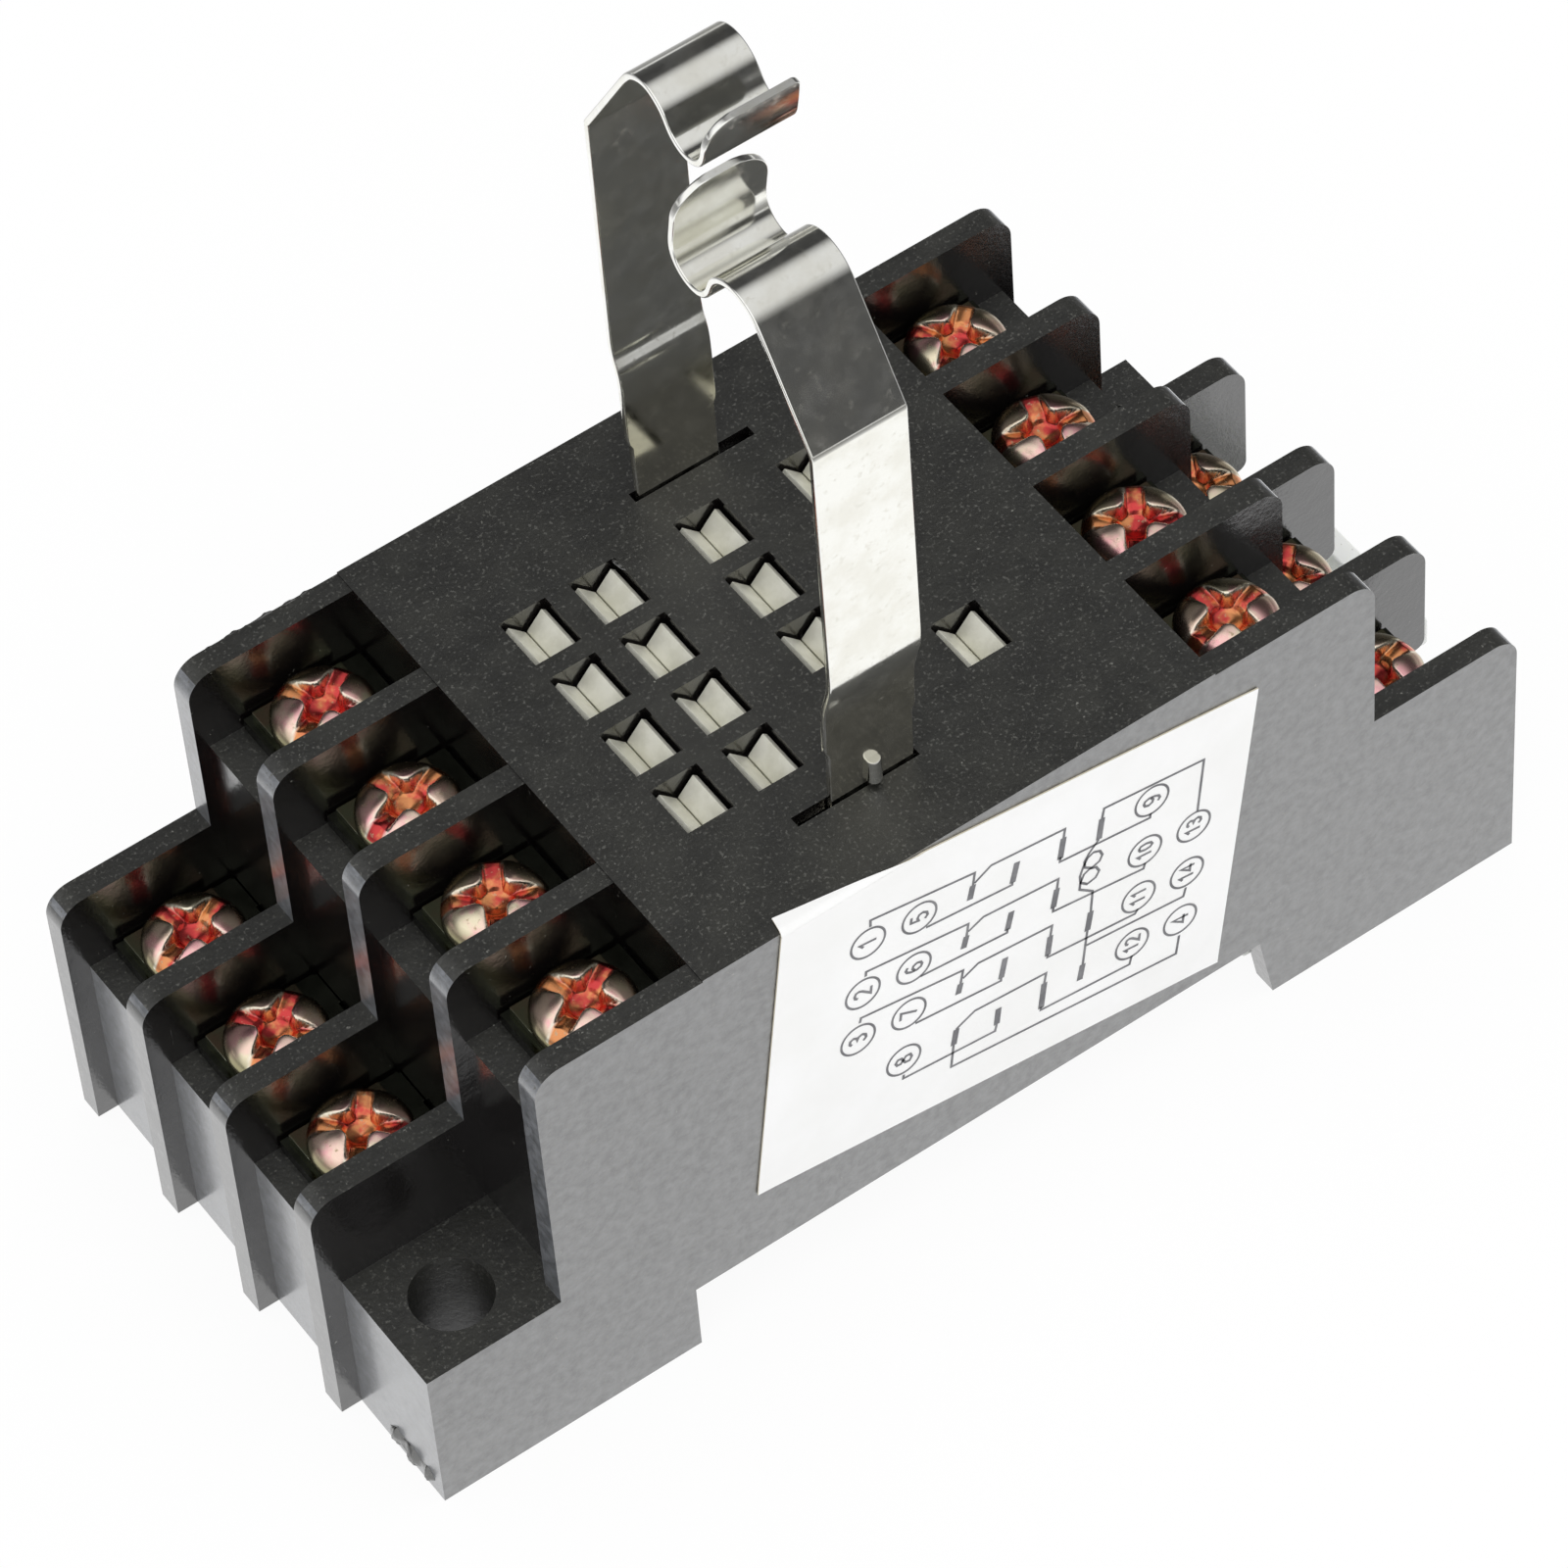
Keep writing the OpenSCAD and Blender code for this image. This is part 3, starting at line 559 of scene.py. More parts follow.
def makeTin(s):
    mat, tree = newMaterial("contactTin")
    leaf = meshValue(tree, "leaf", (-1100, 550))
    clouds = useGroup(tree, cloudGroup, s["clouds"], (-1100, 300))
    wearAndHighlight = useGroup(tree, wearAndHighlightGroup, s["wearAndHighlight"], (-1100, 50))
    grain = useGroup(tree, grainGroup, s["grain"], (-1100, -300))
    pale = mixColour(tree, clouds, s["leafLight"], s["leafDark"], (-800, 400))
    # painted shade: the plates in the bays are painted dark
    shadedPlate = mixColour(tree, clouds, s["shadedPlateLight"], s["shadedPlateDark"], (-800, 200))
    base = mixColour(tree, leaf, shadedPlate, pale, (-600, 300))
    # wear and painted edge highlight on the bevels
    base = mixColour(tree, wearAndHighlight, base, s["wornAndHighlight"], (-400, 250))
    rough = mixValue(tree, leaf, *s["rough"], (-600, 0))
    metal = mixValue(tree, leaf, *s["metal"], (-600, -200))
    return setSurface(mat, {"Base Color": base, "Roughness": rough, "Metallic": metal, "Normal": grain})


def isLeaf(f):
    return float(abs(f.calc_center_median().x) < terminalSettings["leafTo"])


# faces turned outboard, which get a painted highlight
def isOutboard(f):
    return float(f.normal.x * math.copysign(1, f.calc_center_median().x) > 0.5)


contactTin = makeTin(terminalSettings)
washerZinc = makeWasherZinc(washerSettings)
for n in range(1, 15):
    terminal = softCopy(f"terminal_{n}", "base", terminalSettings["edge"], rules={"leaf": isLeaf})
    terminal.data.materials.append(contactTin)
    washer = softCopy(f"washer_{n}", f"washer_{n}", washerSettings["edge"], rules={"outboardHighlight": isOutboard})
    washer.data.materials.append(washerZinc)
print("terminals and washers softened")

# flash and parting lines in millimetres, with lumps for each millimetre
flashSettings = {
    "footFlash": {"start": (-33.3, -15.3, 0.95), "end": (-33.3, -11.2, 1.15), "out": (-1, 0, 0),
                  "up": (0, 0, 1), "width": 1.6, "height": 0.85, "lumps": 0.8},
    "rearEdge": {"start": (-24.0, 16.0, 28.8), "end": (-16.0, 16.0, 28.8), "out": (0, 0.7, 0.7),
                 "up": (0, -0.7, 0.7), "width": 0.35, "height": 0.16, "lumps": 1.1},
    "wellCorner": {"start": (-4.0, 8.26, 29.0), "end": (-3.85, 7.2, 29.0), "out": (0, 0, 1), "up": (-1, 0, 0),
                   "width": 0.35, "height": 0.10, "lumps": 2.5},
    "bayLine": {"start": (21.6, 14.6, 24.6), "end": (21.6, 14.6, 28.7), "out": (0, -1, 0), "up": (1, 0, 0),
                "width": 0.10, "height": 0.04, "lumps": 0.4},
    "endLine": {"start": (-33.0, 6.925, 5.4), "end": (-33.0, 6.925, 16.6), "out": (0, -1, 0), "up": (1, 0, 0),
                "width": 0.10, "height": 0.04, "lumps": 0.4},
}


def makeFlash(name, s):
    start, end, lumps = Vector(s["start"]), Vector(s["end"]), s["lumps"]
    out, up = Vector(s["out"]).normalized(), Vector(s["up"]).normalized()
    count, across = max(8, int((end - start).length * 12)), 7
    verts, faces = [], []
    for i in range(count + 1):
        t = i / count
        at = start.lerp(end, t)
        taper = min(1.0, 6 * t, 6 * (1 - t))
        swell = 0.45 + 0.9 * noise.noise((at * lumps * 1.3) + Vector((3.1, 7.7, 1.9)))
        spread = 0.7 + 0.5 * noise.noise((at * lumps) + Vector((9.4, 2.2, 5.0)))
        for k in range(across + 1):
            a = math.pi * k / across
            rough = 1 + 0.5 * noise.noise((at * 3.5 * lumps) + Vector((k * 1.7, 0.3 * k, 4.0)))
            reach = s["height"] * max(swell, 0.12) * taper * math.sin(a) * rough
            side = s["width"] / 2 * spread * taper * -math.cos(a)
            verts.append((at + up * side + out * (reach - 0.02)) * mm)       # its foot is sunk in
    for i in range(count):
        for k in range(across):
            a = i * (across + 1) + k
            faces.append((a, a + 1, a + across + 2, a + across + 1))
    mesh = bpy.data.meshes.new(name)
    mesh.from_pydata(verts, [], faces)
    bm = bmesh.new()
    bm.from_mesh(mesh)
    bm.normal_update()
    if sum(f.normal.dot(out) * f.calc_area() for f in bm.faces) < 0:
        bmesh.ops.reverse_faces(bm, faces=bm.faces)
    bm.to_mesh(mesh)
    bm.free()
    mesh.shade_smooth()
    mesh.materials.append(blackMoulding)
    return linkPiece(name, mesh, "base")


for name, given in flashSettings.items():
    makeFlash(name, given)
print("flash and parting lines ready")

screwSettings = {            # millimetres
    "radius": 2.8,
    "rim": 0.5,
    "crown": 1.6,
    "curve": 2.3,
    "brim": [(2.80, 0.20), (2.76, 0.08), (2.68, 0.0)],       # radius and height below the rim
    "arm": 0.50,                                             # half width of the recess's arms
    "well": 0.92,
    "blend": 0.22,
    "depths": [(0.0, 1.50), (0.7, 1.25), (1.2, 0.85), (1.9, 0.60), (2.8, 0.42)],
    "shank": 1.74,
    "root": 1.45,
    "pitch": 0.6,
    "length": 7.0,
    "runIn": 0.8,
    "threadStep": 0.1,
    "around": 128,
    "rings": 54,
    "turns": [20, 35, 50, 5, 30, 15, 60, 25, 40, 75, 55, 10, 65, 45],        # degrees, screws 1 to 14
}


def along(table, x):
    for (x0, y0), (x1, y1) in zip(table, table[1:]):
        if x <= x1:
            return y0 + (y1 - y0) * (x - x0) / (x1 - x0)
    return table[-1][1]


def smoothMin(a, b, k):
    h = max(k - abs(a - b), 0.0) / k
    return min(a, b) - h * h * k / 4


def recessEdge(x, y, s):
    # distance from the edge of the cross, negative inside
    edge = smoothMin(abs(x) - s["arm"], abs(y) - s["arm"], s["blend"])
    return smoothMin(edge, math.hypot(x, y) - s["well"], s["blend"])


def domeHeight(r, s):
    return s["rim"] + s["crown"] * math.sqrt(max(0.0, 1 - min(r / s["radius"], 1.0) ** s["curve"]))


def headHeight(x, y, s):
    r = math.hypot(x, y)
    top, edge = domeHeight(r, s), recessEdge(x, y, s)
    k = clamp((0.04 - edge) / 0.15)
    k = k * k * (3 - 2 * k)
    top -= 0.10 * math.exp(-max(edge, 0.0) / 0.16)
    floor = domeHeight(r * 0.6, s) - along(s["depths"], r) + 0.10 * min(abs(edge) / 0.4, 1.0) * (r > 0.9)
    return top * (1 - k) + min(floor, top) * k


def screwRings(s):
    # from the middle of the head out to its rim, then down the thread
    angles = [2 * math.pi * k / s["around"] for k in range(s["around"])]
    rows = []
    for i in range(1, s["rings"] + 1):
        r = s["radius"] * math.sin(math.pi / 2 * (i / s["rings"]) ** 0.92)
        flat = [(r * math.cos(a), r * math.sin(a)) for a in angles]
        rows.append([(x, y, headHeight(x, y, s)) for x, y in flat])
    rim = [z for x, y, z in rows[-1]]
    for r, z in (*s["brim"], (s["shank"], 0.0)):
        rows.append([(r * math.cos(a), r * math.sin(a), min(z, high)) for a, high in zip(angles, rim)])
    steps = int(s["length"] / s["threadStep"])
    for i in range(1, steps + 1):
        z, row = -s["length"] * i / steps, []
        point = s["shank"] - max(0.0, -z - s["length"] + 0.5) * 0.8
        for a in angles:
            phase = (z / s["pitch"] - a / (2 * math.pi)) % 1.0
            depth = (s["shank"] - s["root"]) * (1 - abs(2 * phase - 1)) * min(1.0, -z / s["runIn"])
            r = min(s["shank"] - depth, point)
            row.append((r * math.cos(a), r * math.sin(a), z))
        rows.append(row)
    return rows


def screwMasks(verts, c, q, s):
    masks = {"cupShade": [], "slopeShade": [], "lip": []}
    for x, y, z in verts:
        r, edge = math.hypot(x, y), recessEdge(x, y, s)
        onTop = z > 0.3 and r < 2.75
        # painted shade inside the cross recess
        masks["cupShade"].append(clamp(-edge / 0.12) if onTop else 0.0)
        # painted highlight along the rim of the recess
        masks["lip"].append(math.exp(-((edge - 0.03) / 0.055) ** 2) if onTop else 0.0)
        # painted shade: the steep rim and the flanks turned away from the front are darker
        away = 0.5 + (x * (0.5 * c + 0.86 * q) + y * (0.86 * c - 0.5 * q)) / max(r, 0.1)
        dull = clamp(away) * clamp((r - 1.0) / 0.7)
        masks["slopeShade"].append(max(clamp((r - 2.3) / 0.45), 0.85 * dull))
    return masks


def makeScrew(n, s):
    rows, around = screwRings(s), s["around"]
    verts = [p for row in rows for p in row] + [(0, 0, headHeight(0, 0, s)), (0, 0, -s["length"])]
    tip, top = len(verts) - 1, len(verts) - 2
    last = (len(rows) - 1) * around
    faces = []
    for a in range(0, last, around):
        for k in range(around):
            j = (k + 1) % around
            faces.append((a + k, a + around + k, a + around + j, a + j))
    for k in range(around):
        j = (k + 1) % around
        faces += [(top, k, j), (tip, last + j, last + k)]
    low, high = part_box(f"screw_{n}")
    middle = Vector(((low.x + high.x) / 2, (low.y + high.y) / 2, high.z - (s["rim"] + s["crown"]) * mm))
    turn = math.radians(s["turns"][n - 1])
    c, q = math.cos(turn), math.sin(turn)
    placed = [(middle.x + (x * c - y * q) * mm, middle.y + (x * q + y * c) * mm, middle.z + z * mm)
              for x, y, z in verts]
    mesh = bpy.data.meshes.new(f"terminalScrew{n}")
    mesh.from_pydata(placed, [], faces)
    mesh.shade_smooth()
    for name, values in screwMasks(verts, c, q, s).items():
        mesh.attributes.new(name, "FLOAT", "POINT").data.foreach_set("value", values)
    return linkPiece(f"terminalScrew{n}", mesh, f"screw_{n}", f"screw_{n}")


zincSettings = {
    "blush": [(1.0, 0.52, 0.54), (1.0, 0.74, 0.62)],
    "olive": (0.92, 0.82, 0.60),
    # painted shade on the steep rim and the flanks turned away from the front
    "slopeShade": (0.36, 0.33, 0.19),
    # painted shade in the cross recess, deep red and orange
    "recess": [(0.66, 0.07, 0.07), (0.82, 0.34, 0.14)],
    "spot": (0.60, 0.46, 0.30),
    # painted highlight along the rim of the recess
    "lip": (0.96, 0.90, 0.74),
    "blushPatches": (520.0, 0.42, 0.58),
    "olivePatches": (380.0, 0.52, 0.64),
    "spotPatches": (2600.0, 0.60, 0.72),
    "grain": (3500.0, 0.00001, 0.2),
    "rough": (0.24, 0.38),
}


def makeScrewZinc(s):
    mat, tree = newMaterial("passivatedZinc")
    blush = useGroup(tree, cloudGroup, s["blushPatches"], (-1300, 300))
    olive = useGroup(tree, cloudGroup, s["olivePatches"], (-1300, 50))
    spots = useGroup(tree, cloudGroup, s["spotPatches"], (-1300, -200))
    grain = useGroup(tree, grainGroup, s["grain"], (-1300, -450))
    cupShade = meshValue(tree, "cupShade", (-1300, 800))
    slopeShade = meshValue(tree, "slopeShade", (-1300, 550))
    lip = meshValue(tree, "lip", (-1300, 1000))
    base = mixColour(tree, blush, *s["blush"], (-1000, 300))
    base = mixColour(tree, olive, base, s["olive"], (-800, 250))
    base = mixColour(tree, slopeShade, base, s["slopeShade"], (-600, 200))
    # painted shade: the recess walls are painted deep red and orange
    shadedRecess = mixColour(tree, blush, *s["recess"], (-800, 550))
    base = mixColour(tree, cupShade, base, shadedRecess, (-400, 200))
    base = mixColour(tree, spots, base, s["spot"], (-200, 150))
    # painted highlight: a cream line along the recess rim
    base = mixColour(tree, lip, base, s["lip"], (0, 150))
    rough = mixValue(tree, spots, *s["rough"], (-600, -100))
    return setSurface(mat, {"Base Color": base, "Roughness": rough, "Normal": grain, "Metallic": 1.0})


passivatedZinc = makeScrewZinc(zincSettings)
for n in range(1, 15):
    makeScrew(n, screwSettings).data.materials.append(passivatedZinc)
print("screws ready")

clipSettings = {             # millimetres, and heights above the platform
    "thick": 0.40,
    "half": 2.7,
    "neck": 2.5,
    "neckTop": 4.0,
    "corner": 0.09,
    "foot": (-0.9, 4.85),            # shift and half width of the foot below the slot
    "footTop": -1.1,
    "slot": (-1.8, -10.87),
    "platform": 29,
    "boss": (0.42, 0.35, 1.95),      # radius, foot and top
    "bossAround": 24,
    "step": 0.35,
    "headFrom": 28.5,                # the formed head runs smoothly from slope to lip above this
    "tipRows": 24,
    "near": {
        "set": [(0.28, 7.3), (1.08, 9.85)],
        "bend": (1.13, 27.15),
        "arch": (-4.47, 31.6, 2.2),
        "valley": (-8.17, 30.7),
        "lipLean": -9,
        "lipBow": 0.0,
        "tip": (-8.98, 36.4),
        "tipRadii": (2.0, 2.2)},
    "far": {
        "set": [(0.22, 9.0), (0.78, 10.6)],
        "bend": (0.78, 27.15),
        "arch": (-4.9, 32.82, 1.9),
        "valley": (-8.12, 32.5),
        "lipLean": 4,
        "lipBow": 0.03,
        "tip": (-10.02, 36.0),
        "tipRadii": (0.3, 1.6)},
}


def arcPoints(centre, radius, start, end, steps):
    return [(centre[0] + radius * math.cos(start + (end - start) * i / steps),
             centre[1] + radius * math.sin(start + (end - start) * i / steps)) for i in range(steps + 1)]


def roundCorner(p, q, r, reach, steps=8):
    p, q, r = Vector(p), Vector(q), Vector(r)
    back, on = p - q, r - q
    a = q + back.normalized() * min(reach, back.length * 0.45)
    b = q + on.normalized() * min(reach, on.length * 0.45)
    shares = [i / steps for i in range(steps + 1)]
    return [tuple(a * (1 - t) ** 2 + q * 2 * t * (1 - t) + b * t * t) for t in shares]


def clipPath(s):
    arch, valley, tip, bend = s["arch"], s["valley"], s["tip"], s["bend"]
    acrossBy, downBy = arch[0] - valley[0], valley[1] - arch[1]
    dipRadius = (acrossBy ** 2 + downBy ** 2 - arch[2] ** 2) / (2 * (arch[2] - downBy))
    dipCentre = (valley[0], valley[1] + dipRadius)
    away = (arch[0] - bend[0], arch[1] - bend[1])
    lean = math.atan2(away[1], away[0]) - math.asin(arch[2] / math.hypot(*away))
    join = math.atan2(dipCentre[1] - arch[1], dipCentre[0] - arch[0])
    while join < lean - math.pi / 2:
        join += 2 * math.pi
    bow = arcPoints(arch[:2], arch[2], lean - math.pi / 2, join, 24)
    dip = arcPoints(dipCentre, dipRadius, join - math.pi, math.radians(-180 + s["lipLean"]), 20)[1:]
    # the lip bows away from the slope on its way up
    foot, lip = dip[-1], []
    for t in (i / 12 for i in range(1, 13)):
        lip.append((foot[0] + (tip[0] - foot[0]) * t - 4 * t * (1 - t) * s["lipBow"],
                    foot[1] + (tip[1] - foot[1]) * t))
    start, (low, high) = (0.0, 0.2), s["set"]
    path = [(0.0, -2.1), (0.0, -0.3)]
    path += roundCorner((0, -0.3), start, low, 0.3, 4) + roundCorner(start, low, high, 1.0)
    path += roundCorner(low, high, bend, 1.0) + roundCorner(high, bend, bow[0], 0.15)
    return path + bow + dip + lip


def walk(path, step):
    points = [Vector(path[0])]
    for p in map(Vector, path[1:]):
        gap, last = (p - points[-1]).length, points[-1].copy()
        if gap > 0.015:
            count = max(1, round(gap / step))
            points += [last.lerp(p, (i + 1) / count) for i in range(count)]
    return points


def clipStations(own, s):
    # points along the middle of the strip with the direction across its thickness
    points = walk(clipPath(own), s["step"])
    for i in range(6):
        points = [p if k in (0, len(points) - 1) or p.y < s["headFrom"]
                  else (points[k - 1] + 2 * p + points[k + 1]) / 4 for k, p in enumerate(points)]
    stations = []
    for before, p, after in zip(points[:1] + points, points, points[1:] + points[-1:]):
        way = (after - before).normalized()
        stations.append((p, Vector((-way.y, way.x))))
    # closer stations where the tip's corners round off
    tip, last = own["tip"][1], points[-1]
    cut = max(i for i, (p, n) in enumerate(stations) if p.y < tip - max(own["tipRadii"]))
    ends, rest, base = stations[:cut + 1], stations[cut:], points[cut]
    for i in range(1, s["tipRows"] + 1):
        v = base.y + (last.y - base.y) * math.sin(math.pi / 2 * i / s["tipRows"])
        k = min(max(sum(p.y < v for p, n in rest), 1), len(rest) - 1)
        (p, n), (q, m) = rest[k - 1], rest[k]
        t = clamp((v - p.y) / max(q.y - p.y, 1e-6))
        ends.append((p.lerp(q, t), n.lerp(m, t).normalized()))
    return ends


def clipSides(v, s, tip, radii):
    if v < s["footTop"]:
        return s["foot"][0] - s["foot"][1], s["foot"][0] + s["foot"][1]
    k = clamp((v - s["neckTop"] + 0.15) / 0.3)
    half = s["neck"] + (s["half"] - s["neck"]) * k
    sides = []
    for r in radii:
        d = min(max(v - (tip - r), 0.0), r)
        sides.append(r - math.sqrt(max(r * r - d * d, 0.0)))
    return -half + sides[0], half - sides[1]


def clipOutline(left, right, s):
    # cross-section: eleven points on each face and four round each edge
    half, wide = s["thick"] / 2, max(right - left, 0.02)
    soft = min(s["corner"], wide * 0.3)
    outline = [(left + soft + (wide - 2 * soft) * k / 10, half) for k in range(11)]
    outline += [(right - soft * 0.3, half - soft * 0.3), (right, half - soft), (right, -half + soft),
                (right - soft * 0.3, -half + soft * 0.3)]
    outline += [(right - soft - (wide - 2 * soft) * k / 10, -half) for k in range(11)]
    return outline + [(left + soft * 0.3, -half + soft * 0.3), (left, -half + soft), (left, half - soft),
                      (left + soft * 0.3, half - soft * 0.3)]


def ringFaces(first, second):
    count = len(first)
    return [(first[k], first[(k + 1) % count], second[(k + 1) % count], second[k]) for k in range(count)]


def makeClip(side, s):
    own, (slotX, slotY), verts, rows, low = s[side], s["slot"], [], [], []
    before = None
    for p, n in clipStations(own, s):
        left, right = clipSides(p.y, s, own["tip"][1], own["tipRadii"])
        v = p.y
        if before is not None and before < s["footTop"] <= v:
            p = Vector((p.x, s["footTop"] + 0.002))       # the foot ends square
        before = v
        outline = clipOutline(left, right, s)
        rows.append(range(len(verts), len(verts) + len(outline)))
        for x, off in outline:
            u, v = p.x + n.x * off, p.y + n.y * off
            verts.append((slotX + x, slotY - u, s["platform"] + v))
            # painted shade: the strip darkens towards the platform
            low.append(clamp((9.5 - v) / 3.0))
    faces, edgeFaces = [], []
    for first, second in zip(rows, rows[1:]):
        faces += ringFaces(first, second)
        edgeFaces += [float(k % 15 >= 10) for k in range(len(first))]
    faces += [tuple(rows[0])[::-1], tuple(rows[-1])]
    edgeFaces += [1.0, 1.0]
    # locating boss above the slot
    (radius, below, above), around, rings = s["boss"], s["bossAround"], []
    profile = ((radius, below), (radius, above - 0.12), (radius - 0.04, above - 0.03), (radius - 0.14, above))
    for r, z in profile:
        rings.append(range(len(verts), len(verts) + around))
        for a in (2 * math.pi * k / around for k in range(around)):
            verts.append((slotX + r * math.cos(a), slotY - s["thick"] / 2 - 0.15 + r * math.sin(a),
                          s["platform"] + z))
    for first, second in zip(rings, rings[1:]):
        faces += ringFaces(first, second)
    faces += [tuple(rings[0])[::-1], tuple(rings[-1])]
    edgeFaces += [0.0] * (len(faces) - len(edgeFaces))
    low += [0.0] * (len(verts) - len(low))
    flip = 1 if side == "near" else -1
    mesh = bpy.data.meshes.new(f"springClip.{side}")
    mesh.from_pydata([(x * flip * mm, y * flip * mm, z * mm) for x, y, z in verts], [], faces)
    mesh.attributes.new("softEdge", "FLOAT", "FACE").data.foreach_set("value", edgeFaces)
    mesh.attributes.new("low", "FLOAT", "POINT").data.foreach_set("value", low)
    bm = bmesh.new()
    bm.from_mesh(mesh)
    bmesh.ops.recalc_face_normals(bm, faces=bm.faces)
    for f in bm.faces:
        f.smooth = True
    bm.verts.index_update()
    bm.normal_update()
    normals = flatNormals(bm, bm.faces.layers.float["softEdge"], 40)
    bm.to_mesh(mesh)
    bm.free()
    mesh.normals_split_custom_set(normals)
    return linkPiece(f"springClip.{side}", mesh, f"clip_{side}", f"clip_{side}")


steelSettings = {
    "bright": (0.97, 0.97, 0.92),
    "stain": (0.90, 0.89, 0.82),
    "spot": (0.87, 0.86, 0.79),
    # painted shade towards the platform
    "low": (0.66, 0.64, 0.55),
    "wornAndHighlight": (0.97, 0.97, 0.95),
    "stains": (420.0, 0.36, 0.66),
    "spots": (1900.0, 0.55, 0.72),
    "wearAndHighlight": (0.8, 400.0),
    "grain": (2600.0, 0.00001, 0.12),
    "film": (900.0, 0.40, 0.72),         # a thin cloudy film takes a little of the shine
    "rough": (0.09, 0.15, 0.22),         # bright, stained, spotted
    "metal": (1.0, 0.972),
}


def makeSpringSteel(s):
    mat, tree = newMaterial("springSteel")
    stains = useGroup(tree, cloudGroup, s["stains"], (-1100, 300))
    spots = useGroup(tree, cloudGroup, s["spots"], (-1100, 50))
    wearAndHighlight = useGroup(tree, wearAndHighlightGroup, s["wearAndHighlight"], (-1100, -200))
    grain = useGroup(tree, grainGroup, s["grain"], (-1100, -450))
    film = useGroup(tree, cloudGroup, s["film"], (-1100, -750))
    low = meshValue(tree, "low", (-1100, 550))
    base = mixColour(tree, stains, s["bright"], s["stain"], (-800, 300))
    base = mixColour(tree, spots, base, s["spot"], (-600, 250))
    # painted shade: darker towards the platform
    base = mixColour(tree, low, base, s["low"], (-500, 250))
    # wear and painted edge highlight on the bevels
    base = mixColour(tree, wearAndHighlight, base, s["wornAndHighlight"], (-400, 200))
    rough = mixValue(tree, stains, s["rough"][0], s["rough"][1], (-600, -50))
    rough = mixValue(tree, spots, rough, s["rough"][2], (-400, -50))
    metal = mixValue(tree, film, *s["metal"], (-600, -750))
    return setSurface(mat, {"Base Color": base, "Roughness": rough, "Normal": grain, "Metallic": metal})


springSteel = makeSpringSteel(steelSettings)
for side in ("near", "far"):
    makeClip(side, clipSettings).data.materials.append(springSteel)
print("clips ready")

nylonSettings = {
    "light": (0.96, 0.97, 0.94),
    "dark": (0.92, 0.94, 0.90),
    "dust": (0.50, 0.50, 0.45),
    "clouds": (260.0, 0.3, 0.7),
    "grain": (3800.0, 0.00002, 0.25),
    "dustSpots": (3200.0, 0.66, 0.74),
    "rough": (0.34, 0.48),
    "glow": {"Subsurface Weight": 0.25, "Subsurface Radius": (1.0, 1.0, 0.9), "Subsurface Scale": 0.0012},
}


def makeNylon(s):
    mat, tree = newMaterial("paleNylon")
    clouds = useGroup(tree, cloudGroup, s["clouds"], (-900, 300))
    grain = useGroup(tree, grainGroup, s["grain"], (-900, -300))
    dust = useGroup(tree, cloudGroup, s["dustSpots"], (-900, 0))
    base = mixColour(tree, clouds, s["light"], s["dark"], (-600, 300))
    base = mixColour(tree, dust, base, s["dust"], (-400, 250))
    rough = mixValue(tree, clouds, *s["rough"], (-600, 0))
    return setSurface(mat, {"Base Color": base, "Roughness": rough, "Normal": grain, **s["glow"]})


latchPlate.data.materials.append(makeNylon(nylonSettings))
print("rail latch ready")

labelSettings = {            # millimetres and degrees
    "middle": (2.2, 17.8),
    "lean": 8.0,
    "size": (28.9, 20.6),
    "thick": 0.10,
    "back": 0.015,
    "wall": 16.0,
    "ledge": 29.0,
    "fold": 0.32,
    "foldGap": 0.05,
    "foldRise": 0.10,
    "columns": 58,
    "rows": (36, 40, 0.86),          # below the fold, above it, where it starts
    "curl": (0.93, 0.25),            # where a corner starts to lift and how much
    "line": 0.155,
    "ring": 0.9,                     # share of a line
    "bar": 0.38,
    "circle": 1.02,
    "digit": 1.0,
    "pairDigit": 0.86,
    "digitStep": 0.72,
    "digitGap": 0.12,
    "stroke": 0.16,
    "lift": 0.012,
}


def foldOver(x, z, out, s):
    # what stands above the ledge bends back over it on a small radius
    r, gap, wall = s["fold"], s["foldGap"], s["wall"]
    bendStart = s["ledge"] - r * 0.5
    if z <= bendStart:
        return (x * mm, -(wall + out) * mm, z * mm)
    turn = min((z - bendStart) / (r + gap), math.pi / 2)
    rest = (z - bendStart) - turn * (r + gap)
    reach = r + out
    y = -(wall - r) - reach * math.cos(turn) + rest
    height = s["ledge"] + gap - r + reach * math.sin(turn) + s["foldRise"] * rest
    return (x * mm, y * mm, height * mm)


def labelPoint(u, v, out, s):
    a = math.radians(s["lean"])
    x = s["middle"][0] + u * math.cos(a) + v * math.sin(a)
    z = s["middle"][1] - u * math.sin(a) + v * math.cos(a)
    return foldOver(x, z, out, s)


